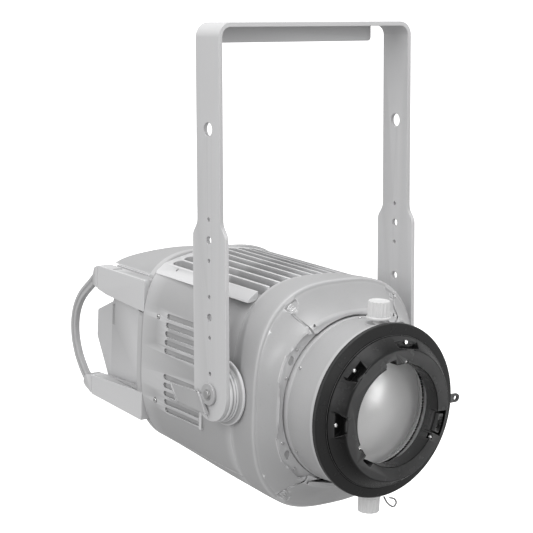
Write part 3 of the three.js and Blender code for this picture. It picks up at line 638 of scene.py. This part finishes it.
def build_pivot(side, hand):
    outer, inner = 190, 183
    hub_face, thick = outer + 5, 6
    foot, face = hub_face - 2, hub_face - 2 + thick

    def lathe_x(profile):
        return lathe([(r, side * x) for r, x in profile], "X", (0, 0), MEDIUM)

    paddle_outline = fillet([(-2, -31), (80, -24), (98, 3), (19, 1)], 2.5)
    paddle = prism(paddle_outline, "X", *spans(side, foot, face - 1.6))
    ridge = [fillet([(80, -24), (98, 3), (94, 3), (76, -24)], 1),
             fillet([(-2, -31), (19, 1), (23, 1), (2, -31)], 1)]
    ridges = [prism(outline, "X", *spans(side, face - 2.6, face)) for outline in ridge]
    hub_profile = fillet([(8, outer + 0.3), (17, outer + 0.3), (17.5, outer + 1.5), (17.5, hub_face - 0.8),
                          (16.6, hub_face), (8, hub_face)], 0.5)
    lever = join(paddle, [lathe_x(hub_profile), *ridges])
    lever = cut(lever, [disc("X", 8, *spans(side, outer - 1, outer + 16))])
    piece(f"lever_{hand}", lever, f"tilt_lever_{hand}", HOUSING, f"tilt_lever_{hand}", ARMS, bevel=0.7)

    near, far = inner - 12, inner - 0.3
    disc_profile = [(8, near), (42.5, near), (44, near + 1.2), (44, near + 4.6), (42.6, near + 5.4),
                    (42.6, near + 6.6), (44, near + 7.4), (44, far - 1.2), (42.5, far), (8, far)]
    pad = lathe_x(disc_profile)
    piece(f"friction_pad_{hand}", pad, "yoke", HOUSING, f"friction_disc_{hand}", ARMS, bevel=0)

    low, high = head_box(f"pivot_boss_{hand}")
    root, tip = sorted((abs(low.x), abs(high.x)))
    boss_profile = [(8, root), (52, root), (52, root + 2.6), (50.8, root + 3.8), (47.5, root + 4.4),
                    (46, root + 5.4), (46, tip - 1), (45, tip), (38, tip), (37, tip - 0.8), (8, tip - 0.8)]
    piece(f"boss_{hand}", lathe_x(boss_profile), "head", HOUSING, f"pivot_boss_{hand}", bevel=0)

    cap0, cap1 = hub_face + 0.3, hub_face + 3.8
    shank = lathe_x(fillet([(0, 143), (6.8, 143), (7.5, 144), (7.5, cap0 + 0.8), (0, cap0 + 0.8)], 0.2))
    hexagon = prism(circle(7.4, count=6), "X", *spans(side, cap0 + 0.8, cap1))
    dome = lathe_x([(0, cap0 + 0.6), (7, cap0 + 0.6), (7, cap1 - 1), (5.6, cap1), (0, cap1)])
    washer = lathe_x(fillet([(6, cap0), (8.9, cap0), (8.9, cap0 + 1), (6, cap0 + 1)], 0.3))
    bolt = join(overlap(hexagon, dome), [washer, shank])
    piece(f"bolt_{hand}", bolt, "head", DULL, f"pivot_bolt_{hand}", bevel=0.25)


# ---- nose ----
PETAL_ROWS = [PETAL_START - PETAL_REACH * i / 12 for i in range(13)]


def petal_inset(y):
    """The face is dished between its rim and the edge of the opening."""
    reach = (PETAL_START - y) / PETAL_REACH
    return PETAL_INSET + PETAL_DISH * math.sin(math.pi * min(1, max(0, reach)))


def skin_tool(deep_front, deep_rear, y0, y1):
    """A cutting band that follows the face: it takes away the skin down to a given inset."""
    rows = [mix(y0, y1, i / 10) for i in range(11)]
    above = [(-4, y) for y in rows]
    below = [(mix(deep_front, deep_rear, i / 10), y) for i, y in enumerate(rows)]
    return swept(above + below[::-1], 240)


def build_nose():
    wall = 5
    shell_rows = [BODY_FRONT, -16, -28, -40, -52, -62, -68]
    lip = [(0.2, NOSE_SEAM + 2.2), (0.8, NOSE_SEAM + 1.1), (1.8, NOSE_SEAM), (2.8, NOSE_SEAM - 0.9),
           (3.4, NOSE_SEAM - 1.4), (3.0, NOSE_SEAM - 2.2)]
    outer = [(0, y) for y in shell_rows] + lip + [(petal_inset(y), y) for y in PETAL_ROWS]
    outer += [(3.4, NOSE_FRONT + 1), (5, NOSE_FRONT)]
    inner = [(32, NOSE_FRONT), (32, NOSE_FRONT + wall), (12, NOSE_FRONT + wall), (wall + 3, NOSE_SEAM),
             (wall, NOSE_SEAM + 12), (wall, -40), (wall, BODY_FRONT)]
    shell = swept(outer + inner, 240)
    rear_wall = swept([(3, BODY_FRONT - 7), (3, BODY_FRONT), (36, BODY_FRONT), (36, BODY_FRONT - 7)])
    rear_wall = overlap(rear_wall, block(-FAR, FAR, -20, 0, 132, 200))
    corner = [(-141, -75), (-98, -118), (98, -118), (141, -75), (141, 63), (98, 106), (-98, 106),
              (-141, 63)]
    before, behind = NOSE_FRONT - 5, NOSE_FRONT + wall + 1
    tools = [prism(fillet(corner, 7, 6), "Y", before, behind),
             disc("Y", BARREL_RADIUS + 4, before, behind, 0, -AXIS_DROP, FINE),
             disc("X", BOLT_WAY, -170, 170, 0, 0)]
    for angle, turn in CORNERS:
        pocket = fillet([(170, -3 * turn), (206, -3 * turn), (206, 21 * turn), (174, 21 * turn)], 8, 6)
        seam = [(126, -SEAM_HALF), (178, -SEAM_HALF), (178, SEAM_HALF), (126, SEAM_HALF)]
        deep, shallow = skin_tool(9.2, 6.2, -108, NOSE_SEAM - 2), skin_tool(7.6, 5.2, -111, PETAL_START)
        tools.append(overlap(deep, radial_prism(pocket, -130, -60, angle)))
        tools.append(overlap(shallow, radial_prism(seam, -130, -60, angle)))
        tools.append(radial_prism(seam, before, NOSE_FRONT + 2.4, angle))
    small_holes = mirrored((79, 117.4), (79, -129))
    tools += [disc("Y", 2.2, NOSE_FRONT - 2, NOSE_FRONT + 9, x, z, 24) for x, z in small_holes]
    piece("nose_shell", cut(join(shell, [rear_wall]), tools), "head", HOUSING, "nose_casting", bevel=0.9)


def screw(radius, height):
    """A screw standing on y = 0 and facing the beam, drawn about the origin."""
    profile = [(0, 0), (radius, 0), (radius, -height * 0.7), (radius * 0.8, -height), (0, -height)]
    head = lathe(fillet(profile, 0.4), "Y", (0, 0), 32)
    return cut(head, [prism(circle(radius * 0.45, count=6), "Y", -height - 1, -height * 0.4)])


def screws(places, radius, height):
    made = []
    for x, y, z in places:
        one = screw(radius, height)
        bmesh.ops.translate(one, vec=(x, y, z), verts=one.verts)
        made.append(one)
    return pile(*made)


def build_nose_recess():
    front, rear = head_box("barrel_plate")[0].y, head_box("barrel_plate")[1].y
    plate = swept([(5.6, front), (5.6, rear), (70, rear), (70, front)], 128)
    tools = [disc("Y", BARREL_RADIUS + 1, front - 1, rear + 1, 0, -AXIS_DROP, FINE)]
    for x, z in mirrored((119, 67.8), (119, -79.8)):
        oval = circle(5.5, x, z, 24)
        tools.append(prism([(u, z + (v - z) * 1.35) for u, v in oval], "Y", front - 1, front + 1.8))
    lip = prism(sector(BARREL_RADIUS + 1, BARREL_RADIUS + 4, math.radians(246), math.radians(294)), "Y",
                front - 3.5, rear)
    piece("recess_plate", join(cut(plate, tools), [lip]), "head", HOUSING, "barrel_plate", bevel=0.5)
    places = mirrored((108.6, 83.5), (127, 41.6), (128.8, -59.7), (103.7, -104))
    heads = screws([(x, front - 0.1, z) for x, z in places], 2.6, 1.8)
    piece("recess_screws", heads, "head", STEEL, bevel=0)


def corner_screw(angle, sideways, r, inset_y, radius):
    """Place of a screw in a corner pocket, turned out along the slope of the face."""
    bm = screw(radius, 2)
    slope = Matrix.Rotation(math.radians(-42), 4, "Z")
    bm.transform(Matrix.Translation((r, inset_y, sideways)) @ slope)
    return turn_about_beam(bm, angle)


def build_brackets():
    """Each corner pocket holds a small strap and its two screws, which tie the nose to the body."""
    for i, (angle, turn) in enumerate(CORNERS):
        outline = fillet([(175, 0), (186, 0), (186, 9 * turn), (175, 9 * turn)], 2)
        strap = radial_prism(outline, -130, -60, angle)
        floor = overlap(skin_tool(10.4, 7.2, -104, PETAL_START), strap)
        skin = skin_tool(6.8, 4.6, -105, NOSE_SEAM - 2)
        piece(f"corner_strap_{i + 1}", cut(floor, [skin]), "head", HOUSING, bevel=0.4)
        bolts = [corner_screw(angle, 2.6 * turn, 178, -84.5, 1.7),
                 corner_screw(angle, 6.6 * turn, 181.5, -81.5, 1.7)]
        piece(f"strap_screws_{i + 1}", pile(*bolts), "head", STEEL, bevel=0)


# ---- middle housing ----
def cover_ring(wall, inset=0, count=192):
    rows = [COVER_FRONT, 20, 50, 90, 130, 170, 210, COVER_REAR]
    outer = [(inset, y) for y in rows]
    inner = [(inset + wall, y) for y in reversed(rows)]
    return swept(outer + inner, count)


def build_side_cover(side, hand):
    reach = spans(side, 0.5, 200)
    panel = overlap(cover_ring(WALL), block(*reach, -10, 260, FLOOR_SEAM + 0.3, ROOF_SEAM - 0.3))
    tools = [disc("X", BOLT_WAY, -170, 170, 0, 0)]
    middle, half = (VENT_FRONT + VENT_REAR) / 2, (VENT_REAR - VENT_FRONT) / 2
    for z in VENT_ROWS:
        tools.append(prism(stadium(middle, z, half, VENT_HEIGHT / 2), "X", *reach))
    for y, z in COVER_SCREWS:
        tools.append(disc("X", 4.5, *reach, y, z))
    rib_outline = fillet([(74.5, -83), (81, -83), (81, -54), (74.5, -54)], 2.5)
    rib = prism(rib_outline, "X", *spans(side, 147, 151.6))
    cover = join(cut(panel, tools), [overlap(rib, block(*reach, -10, 260, -100, 0))])
    piece(f"side_shell_{hand}", cover, "head", HOUSING, f"side_cover_{hand}", bevel=0.5)
    for i, (y, z) in enumerate(COVER_SCREWS):
        low, high = head_box(f"cover_screw_{hand}_{i + 1}")
        root, tip = sorted((abs(low.x), abs(high.x)))
        profile = [(0, root), (4, root), (4, tip - 0.6), (3.4, tip), (0, tip)]
        captive = lathe([(r, side * x) for r, x in profile], "X", (y, z), COARSE)
        captive = cut(captive, [disc("X", 2, *spans(side, tip - 2, tip + 1), y, z, 6)])
        number = f"screw_{hand}_{i + 1}"
        piece(f"captive_{number}", captive, "head", STEEL, f"cover_{number}", bevel=0.2)
    duct = overlap(cover_ring(1.2, inset=WALL + 0.6, count=96),
                   block(*reach, VENT_FRONT - 6, VENT_REAR + 6, -88, 90))
    piece(f"vent_screen_{hand}", duct, "head", VENT, bevel=0)


def build_floor():
    pan = overlap(cover_ring(WALL), block(-FAR, FAR, -10, 260, -250, FLOOR_SEAM))
    holes = [disc("Z", 2.4, -200, FLOOR_SEAM, x, y, 20) for x in (-60, 60) for y in (20, 230)]
    piece("floor_pan", cut(pan, holes), "head", HOUSING, "bottom_cover", bevel=0.5)


def crown(x):
    return FIN_CROWN - x * x / (2 * FIN_ARC_RADIUS)


def build_roof():
    edge = ROOF_SEAM
    stations = [i * 7 for i in range(-16, 17)]
    outer = [(x, crown(x)) for x in stations]
    inner = [(x, crown(x) - FIN_DEPTH - 5) for x in reversed(stations[4:-4])]
    outline = [(-128.5, edge), (-126, edge + 5), *outer, (126, edge + 5), (128.5, edge), (121, edge),
               *inner, (-121, edge)]
    plate = prism(outline, "Y", COVER_FRONT, COVER_REAR)
    half = (FIN_PITCH - FIN_THICK) / 2
    tools = []
    for i in range(FIN_COUNT - 1):
        x = (i - (FIN_COUNT - 2) / 2) * FIN_PITCH
        floor = crown(x) - FIN_DEPTH
        run = [(x - half, -10), (x + half, -10), *arc(x, FIN_END - half, half, 0, 180, 12)]
        tools.append(prism(run, "Z", floor, 200))
    tools += [disc("Z", 2.4, crown(x) - 8, 200, x, 205, 20) for x in (-116, 116)]
    piece("roof_fins", cut(plate, tools), "head", HOUSING, "finned_roof", bevel=0.7)


# ---- rear ----
def build_rear_frame():
    rim = 28
    band = [(1.6, FRAME_FRONT), (0, FRAME_FRONT + 1.6), (0, FRAME_REAR - 5), (1.6, FRAME_REAR - 1.6),
            (5, FRAME_REAR), (rim, FRAME_REAR), (rim, FRAME_FRONT)]
    ring = swept(band)
    root = FRAME_FRONT
    top = [(root, 127), (396, 126), (396, 85), (367, 80), (root, 73)]
    low = [(root, -63), (408, -70), (408, -104), (root, -112)]
    beams, marks = [], []
    for side in (-1, 1):
        beams += [prism(fillet(outline, 3), "X", *spans(side, BEAM_IN, BEAM_OUT)) for outline in (top, low)]
        marks.append(prism(stadium(side * 137, 352, 8, 3.2), "Z", 125.4, 130))
    piece("tail_frame", cut(join(ring, beams), marks), "head", HOUSING, "rear_frame", bevel=1.4)


# Bends of the grip's spine, as (y, z).
HANDLE_BENDS = [(403, 106), (418, 92), (449, 65), (466, 40), (473, 13), (471, -14), (462, -38),
                (451, -55), (436, -72), (420, -84)]


def build_handle(side, hand):
    low, high = head_box(f"rear_handle_{hand}")
    middle = side * 145
    grip = fillet([(-5, -7.5), (5, -7.5), (5, -2.4), (3.6, -1.2), (3.6, 1.2), (5, 2.4), (5, 7.5), (-5, 7.5),
                   (-5, 2.4), (-3.6, 1.2), (-3.6, -1.2), (-5, -2.4)], 1.5, 2)
    loop = tube([(middle, y, z) for y, z in flowing(HANDLE_BENDS, 6)], grip)
    wide = spans(side, BEAM_IN, BEAM_OUT)
    start_top, start_low = low.y, 408.3
    outlines = [[(start_top, 126), (408, 120), (413, 92), (start_top, 86)],
                [(start_low, -70), (428, -72), (436, -88), (430, -94), (start_low, -103)]]
    feet = [prism(fillet(outline, 3), "X", *wide) for outline in outlines]
    whole = join(loop, feet)
    keep = block(-FAR, FAR, start_top, high.y, -FAR, FAR)
    grip = overlap(whole, keep)
    piece(f"grip_{hand}", grip, "head", HOUSING, f"rear_handle_{hand}", bevel=0.5, corner=45)


def build_rear_housing():
    start = head_box("rear_housing")[0].y
    half = HOUSING_HALF
    profile = [(start, 126), (388, 126), (397, 60), (446, 36), (447, -11), (412, -70), (400, -100),
               (start, -116)]
    hollow = [(start - 1, 122), (384, 122), (393, 57), (442, 33), (443, -10), (409, -68), (397, -96),
              (start - 1, -112)]
    rounded = [profile[0], *fillet(profile, 3)[5:-5], profile[-1]]
    shell = cut(prism(rounded, "X", -half, half), [prism(hollow, "X", -half + WALL, half - WALL)])
    notches = [block(*spans(side, half - 1.4, half + 2), 391, 397, 20, 54) for side in (-1, 1)]
    slots = [block(x - 2.4, x + 2.4, 300, 372, -125, -95) for x in range(-90, 91, 12)]
    piece("tail_housing", cut(shell, [*notches, *slots]), "head", HOUSING, "rear_housing", bevel=1.2)


def build_rear_dome():
    low, high = head_box("rear_dome")
    half, base, start, end = high.x, low.z, low.y, high.y
    crest = high.z - low.z
    left = bezier((-half, 0), (-half + 12, 0.5 * crest), (-half * 0.6, 0.95 * crest), (0, crest), 16)
    arch = left + [(-x, z) for x, z in reversed(left[:-1])]
    rows = 24
    verts = []
    for i in range(rows + 1):
        t = i / rows
        rise = 1 - 0.1 * t - 0.35 * t**5
        verts += [(x, mix(start, end, t), base + z * rise) for x, z in arch]
    n = len(arch)
    starts = [i * n for i in range(rows)]
    faces = [(a + k, a + k + 1, a + n + k + 1, a + n + k) for a in starts for k in range(n - 1)]
    faces += [(a, a + n, a + 2 * n - 1, a + n - 1) for a in starts]
    faces += [tuple(range(n)), tuple(range(rows * n, rows * n + n))]
    piece("tail_dome", mesh_from(verts, faces), "head", HOUSING, "rear_dome", bevel=1.6, corner=40)


def build_controls():
    low, high = head_box("display_window")
    corners = [(low.x, low.z), (high.x, low.z), (high.x, high.z), (low.x, high.z)]
    pane = prism(fillet(corners, 4), "Y", low.y, high.y)
    piece("display_pane", pane, "head", WINDOW, "display_window", bevel=0.5)
    for i in range(3):
        low, high = head_box(f"menu_button_{i + 1}")
        centre = (low + high) / 2
        radius = (high.x - low.x) / 2
        profile = [(0, low.y), (radius, low.y), (radius, high.y - 0.8), (radius - 0.8, high.y),
                   (radius * 0.7, high.y), (radius * 0.4, high.y - 0.3), (0, high.y - 0.4)]
        cap = lathe(profile, "Y", (centre.x, centre.z), 48)
        piece(f"menu_key_{i + 1}", cap, f"button_{i + 1}", DARK, f"menu_button_{i + 1}", bevel=0)
    low, high = head_box("menu_knob")
    centre, radius = (low + high) / 2, (high.x - low.x) / 2
    flutes = [(centre.x + (radius - 0.5 * (i % 2)) * math.cos(math.pi * i / 18),
               centre.z + (radius - 0.5 * (i % 2)) * math.sin(math.pi * i / 18)) for i in range(36)]
    body = prism(flutes, "Y", low.y, high.y)
    dimple = disc("Y", 2.2, high.y - 1.2, high.y + 1, centre.x + radius * 0.55, centre.z, 20)
    piece("menu_dial", cut(body, [dimple]), "menu_knob", KNOB, "menu_knob", bevel=0.5)


def build_connector(name, radius, x, pins):
    panel = HEAD @ Matrix.Translation((0, 429.5, -40.5)) @ Matrix.Rotation(math.radians(-30.7), 4, "X")
    base, top, wall = 0.6, 8, 3
    edge = radius + 4
    outline = [(x - edge, -edge), (x + edge, -edge), (x + edge, edge), (x - edge, edge)]
    plate = prism(fillet(outline, 2.5), "Y", base, base + 3)
    rim = lathe([(0, base), (radius, base), (radius, top), (0, top)], "Y", (x, 0), 64)
    shell = join(plate, [rim])
    corners = [(x + sx * (edge - 3), sz * (edge - 3)) for sx in (-1, 1) for sz in (-1, 1)]
    tools = [disc("Y", radius - wall, top - 6, top + 1, x, 0, 48)]
    tools += [disc("Y", 1.3, base + 1.2, top, u, v, 16) for u, v in corners]
    shell = cut(shell, tools)
    contacts = [disc("Y", 1.1, top - 6.2, top - 1.5, x + 4.2 * math.cos(a), 4.2 * math.sin(a), 12)
                for a in (math.pi / 2 + 2 * math.pi * k / pins for k in range(pins))]
    piece(f"{name}_socket", join(shell, contacts), "head", DARK, name, panel, bevel=0.35)


# ---- barrel ----
def build_barrel():
    inner = BARREL_RADIUS - 6
    front = RING_REAR + 0.5
    profile = [(inner, -60), (136, -60), (136, -64), (BARREL_RADIUS, -64), (BARREL_RADIUS, -110),
               (BARREL_RADIUS + 1.1, -111), (BARREL_RADIUS + 1.1, -117), (BARREL_RADIUS, -118),
               (BARREL_RADIUS, -170), (BARREL_RADIUS + 0.6, -172.4), (132.4, -174.4), (133.7, -175.2),
               (134, -176.2), (134, front + 1), (133, front), (inner, front)]
    tube_body = lathe(profile)
    holes = [disc("Z", 5.5, *sorted((side * 110 - AXIS_DROP, side * 140 - AXIS_DROP)), 0, KNOB_Y)
             for side in (-1, 1)]
    bosses = []
    for side in (-1, 1):
        pad = lathe(fillet([(5.5, 126), (19.5, 126), (19.5, 130.2), (17.5, 131.2), (5.5, 131.2)], 0.6), "Z",
                    (0, KNOB_Y), 64)
        if side < 0:
            bmesh.ops.scale(pad, vec=(1, 1, -1), verts=pad.verts)
            bmesh.ops.reverse_faces(pad, faces=pad.faces)
        bmesh.ops.translate(pad, vec=(0, 0, -AXIS_DROP), verts=pad.verts)
        bosses.append(pad)
    screw_profile = [(0, 128), (2.6, 128), (2.6, 131.4), (2, 132), (0, 132)]
    seam_screws = [radial_pin(screw_profile, -122, math.radians(a), 24) for a in (30, 90, 150, 210, 330)]
    whole = cut(join(tube_body, bosses), holes)
    piece("barrel_tube", whole, "barrel", HOUSING, "barrel", bevel=0.5)
    piece("barrel_screws", pile(*seam_screws), "barrel", STEEL, bevel=0)


def build_knob(side, where):
    ribs = 16
    steps = 6
    outline = []
    for i in range(ribs * steps):
        angle = 2 * math.pi * i / (ribs * steps)
        radius = 17 - 0.75 * (1 - math.cos(2 * math.pi * (i % steps) / steps))
        outline.append((radius * math.cos(angle), radius * math.sin(angle)))
    grip = prism(outline, "Z", 142, 166)
    crown_cut = lathe([(16, 167), (16, 166), (17.4, 164.2), (19, 164.2), (19, 167)], "Z", (0, 0), 96)
    dish = lathe([(0, 165.2), (10.5, 165.2), (11.5, 166), (11.5, 167), (0, 167)], "Z", (0, 0), 96)
    grip = cut(grip, [crown_cut, dish])
    skirt = lathe([(0, 131), (8, 131), (8, 138), (17.5, 138), (18.5, 139), (18.5, 141.4), (17.2, 142.6),
                   (0, 142.6)], "Z", (0, 0), 96)
    spindle = lathe([(0, 100), (4.4, 100), (5, 100.6), (5, 132), (0, 132)], "Z", (0, 0), COARSE)
    move = Matrix.Translation((0, KNOB_Y, -AXIS_DROP))
    if side < 0:
        move = move @ Matrix.Rotation(math.pi, 4, "Y")
    whole = join(grip, [skirt, spindle])
    piece(f"knob_{where}_grip", whole, f"knob_{where}", KNOB, f"focus_knob_{where}", bevel=0.35,
          move=move, corner=40)


def lens_profile(radius, edge, front, back, y, steps=14):
    half = edge / 2
    face = [(radius * i / steps, y - half - front * (1 - (i / steps) ** 2)) for i in range(steps + 1)]
    rear = [(radius * i / steps, y + half + back * (1 - (i / steps) ** 2)) for i in range(steps, -1, -1)]
    return face + rear


def build_optics():
    carriage = fillet([(92, -181), (97, -181), (97, -112), (92, -112)], 1.2)
    piece("carriage_tube", lathe(carriage), "carriage", PALE, "lens_carriage", bevel=0)
    piece("front_glass", lathe(lens_profile(91.5, 8, 9, 0, -160)), "carriage", GLASS, "front_lens", bevel=0)
    rear = lathe(lens_profile(91.5, 6, 0, 10, -128))
    piece("rear_glass", rear, "carriage", FROSTED, "rear_lens", bevel=0)
    clip = fillet([(86, -178), (91.5, -178), (91.5, -172), (86, -172)], 1.2)
    piece("retaining_ring", lathe(clip), "carriage", STEEL, "lens_clip_ring", bevel=0)


# ---- adapter ring ----
def build_ring():
    face, rear = RING_FACE, RING_REAR
    profile = [(RING_OPENING, face + 0.6), (RING_OPENING + 0.6, face), (100.5, face), (102.4, face + 0.7),
               (104.6, face + 3.2), (117.2, -200.5), (118.2, -198.4), (118.2, -195.4), (118.9, -194.8),
               (120.2, -195), (133.6, -191.4), (135.2, -190.6), (RING_RIM, -189), (RING_RIM, -184.4),
               (RING_RIM - 0.8, rear), (108, rear), (100, -195), (RING_OPENING, -195)]
    body = lathe(profile, count=240)
    tools = []
    for angle in KEYWAY_ANGLES:
        keyway = fillet([(70, -10), (88, -10), (88, 10), (70, 10)], 1)
        tools.append(radial_prism(keyway, face - 4, -200, angle))
    for centre, outer, inner, near, far in POCKETS:
        corners = [polar(r, math.radians(centre + side * width / 2)) for r, width, side in
                   ((near, inner, -1), (far, outer, -1), (far, outer, 1), (near, inner, 1))]
        tools.append(prism(fillet(corners, 2), "Y", face - 4, POCKET_FLOOR))
    for angle in PLUNGER_ANGLES:
        notch = fillet([(70, -4.3), (84.5, -4.3), (84.5, 4.3), (70, 4.3)], 2)
        tools.append(radial_prism(notch, face - 4, -213, angle))
        tools.append(radial_pin([(0, 76), (3.3, 76), (3.3, 96), (0, 96)], PIN_Y, angle))
    recess = sector(70, 98, LATCH_FROM + math.radians(3), LATCH_TO - math.radians(2))
    tools.append(prism(recess, "Y", face - 4, -212))
    body = cut(body, tools)
    lip_from, lip_to = math.radians(109), math.radians(137)
    lip = prism(fillet(sector(RING_OPENING + 3, 92, lip_from, lip_to), 2, 2), "Y", face, -207)
    piece("bayonet_ring", join(body, [lip]), "barrel", BLACK, "adapter_ring", bevel=0.8, corner=28)
    places = []
    for centre, _, _, near, far in POCKETS[:3]:
        x, z = polar((near + far) / 2, math.radians(centre))
        places.append((x, POCKET_FLOOR - 0.1, z))
    piece("ring_screws", screws(places, 3.4, 3), "barrel", STEEL, bevel=0)


def build_ring_fittings():
    for i, angle in enumerate(PLUNGER_ANGLES):
        profile = [(0, 80.5), (1.6, 80.7), (2.6, 81.6), (3, 83), (3, 91.2), (2.4, 92), (0, 92)]
        piece(f"plunger_{i + 1}_pin", radial_pin(profile, PIN_Y, angle), f"plunger_{i + 1}", STEEL,
              f"spring_plunger_{i + 1}", bevel=0)
    latch = prism(fillet(sector(84, 93, LATCH_FROM, LATCH_TO), 1.6, 2), "Y", -220.5, -213)
    groove = [(84.5, -0.5), (92.5, -0.5), (92.5, 0.5), (84.5, 0.5)]
    grips = [radial_prism(groove, -222, -219.8, math.radians(-a)) for a in (13, 15.5, 18, 20.5)]
    piece("latch_arm", cut(latch, grips), "latch", BLACK, "ring_latch", bevel=0.4)
    low, high = head_box("safety_eye")
    length = high.x - low.x
    outline = [(0, -7), (length - 7, -7), *arc(length - 7, 0, 7, -90, 90, 16), (0, 7)]
    hole = disc("Y", 3.5, low.y - 1, high.y + 1, length - 8, 0, 32)
    eye = cut(prism(outline, "Y", low.y, high.y), [hole])
    move = Matrix.Translation((low.x, 0, -AXIS_DROP))
    piece("eye_lug", eye, "barrel", BLACK, "safety_eye", bevel=0.7, move=move)


def build_wire_clip():
    bends = [(10, 138.5), (18, 150), (30, 158), (36, 153), (32, 146), (22, 142)]
    route = [(x, -187, -AXIS_DROP - r) for x, r in flowing(bends)]
    piece("spring_wire", tube(route, circle(1.3, count=12)), "barrel", SPRING, "wire_clip", bevel=0)


# ---- pieces inside the housing keep their CAD shape ----
def finish_inside():
    inside = {
        "power_supply": ALUMINIUM, "driver_board": BOARD, "led_heat_sink": ALUMINIUM, "led_board": BOARD,
        "optics_housing": DARK, "condenser_lens": GLASS, "gate_plate": DARK, "fan_frame": DARK,
        "fan_rotor_left": DARK, "fan_rotor_right": DARK, "chassis_rail_left": ALUMINIUM,
        "chassis_rail_right": ALUMINIUM, "barrel_bearing": ALUMINIUM,
    }
    for name, finish in inside.items():
        node = frame["nodes"][name]
        node.data.materials.clear()
        node.data.materials.append(finish["material"])


# ---- stage, lights and camera ----
def build_stage():
    """A pale floor that turns up into a round wall and a ceiling, far outside the object."""
    floor_z, radius, height, bend = cad_low.z - 0.6, 7.5, 9.0, 1.5
    corner = [(radius - bend + r, floor_z + bend + z) for r, z in arc(0, 0, bend, -90, 0, 12)]
    corner += [(radius - bend + r, floor_z + height - bend + z) for r, z in arc(0, 0, bend, 0, 90, 12)]
    profile = [(0, floor_z), *corner, (0, floor_z + height), (0, floor_z + height + 0.1),
               (radius + 0.1, floor_z + height + 0.1), (radius + 0.1, floor_z - 0.1), (0, floor_z - 0.1)]
    bm = lathe(profile, "Z", (0, 0), 96)
    mesh = bpy.data.meshes.new("studio_shell")
    bm.to_mesh(mesh)
    bm.free()
    mesh.shade_smooth()
    material, nodes, links, shader, where = blank_material("studio_paper")
    wash = noise(nodes, links, where, 0.8)
    links.new(ramp(nodes, links, wash, 0.2, 0.8, (shade(0.86), shade(0.9))), shader.inputs["Base Color"])
    shader.inputs["Roughness"].default_value = 0.95
    shader.inputs["Emission Color"].default_value = (1, 1, 1, 1)
    shader.inputs["Emission Strength"].default_value = 0.8
    mesh.materials.append(material)
    shell = bpy.data.objects.new("studio_shell", mesh)
    shell.visible_diffuse = False
    shell.visible_glossy = False
    shell.visible_shadow = False
    bpy.context.scene.collection.objects.link(shell)


def area_light(name, towards, distance, size, power):
    """A soft box that looks at the head from a direction given as (azimuth, elevation)."""
    azimuth, elevation = (math.radians(a) for a in towards)
    back = Vector((math.sin(azimuth) * math.cos(elevation), -math.cos(azimuth) * math.cos(elevation),
                   math.sin(elevation)))
    data = bpy.data.lights.new(name, "AREA")
    data.shape = "RECTANGLE"
    data.size, data.size_y = size
    data.energy = power
    lamp = bpy.data.objects.new(name, data)
    lamp.location = PIVOT + back * distance
    lamp.rotation_euler = back.to_track_quat("Z", "Y").to_euler()
    bpy.context.scene.collection.objects.link(lamp)


def build_lights():
    """A sky that is brighter above than below stands for the studio's big overhead diffuser."""
    world = bpy.data.worlds.new("studio")
    world.use_nodes = True
    nodes, links = world.node_tree.nodes, world.node_tree.links
    where = nodes.new("ShaderNodeTexCoord")
    split = nodes.new("ShaderNodeSeparateXYZ")
    links.new(where.outputs["Generated"], split.inputs["Vector"])
    height = nodes.new("ShaderNodeMapRange")
    height.inputs["From Min"].default_value = -1
    links.new(split.outputs["Z"], height.inputs["Value"])
    sky = ramp(nodes, links, height.outputs["Result"], 0.3, 0.95, (SKY_LOW, SKY_HIGH))
    links.new(sky, nodes["Background"].inputs["Color"])
    bpy.context.scene.world = world
    for name, (towards, distance, size, power) in LAMPS.items():
        area_light(name, towards, distance, size, power)


def build_camera():
    azimuth, elevation, roll = (math.radians(a) for a in CAMERA_ANGLES)
    back = Vector((math.sin(azimuth) * math.cos(elevation), -math.cos(azimuth) * math.cos(elevation),
                   math.sin(elevation)))
    level = Vector((math.cos(azimuth), math.sin(azimuth), 0))
    upright = back.cross(level)
    right = level * math.cos(roll) + upright * math.sin(roll)
    up = upright * math.cos(roll) - level * math.sin(roll)
    data = bpy.data.cameras.new("camera")
    data.sensor_width = 36
    data.lens = CAMERA_LENS
    camera = bpy.data.objects.new("camera", data)
    turn = Matrix((right, up, back)).transposed().to_4x4()
    camera.matrix_world = Matrix.Translation(PIVOT + CAMERA_FROM_PIVOT) @ turn
    bpy.context.scene.collection.objects.link(camera)
    bpy.context.scene.camera = camera


# ---- the whole scene ----
build_camera()
build_yoke()
for side, hand in ((-1, "left"), (1, "right")):
    build_pivot(side, hand)
    build_side_cover(side, hand)
    build_handle(side, hand)
build_nose()
build_nose_recess()
build_brackets()
build_floor()
build_roof()
build_rear_frame()
build_rear_housing()
build_rear_dome()
build_controls()
for name, radius, x, pins in (("power_inlet", 14, -84, 3), ("power_outlet", 14, -44, 3),
                              ("data_inlet", 11, 44, 5), ("data_outlet", 11, 82, 5)):
    build_connector(name, radius, x, pins)
build_barrel()
build_knob(1, "top")
build_knob(-1, "bottom")
build_optics()
build_ring()
build_ring_fittings()
build_wire_clip()
finish_inside()
build_stage()
build_lights()
bpy.context.scene.view_settings.view_transform = "Standard"
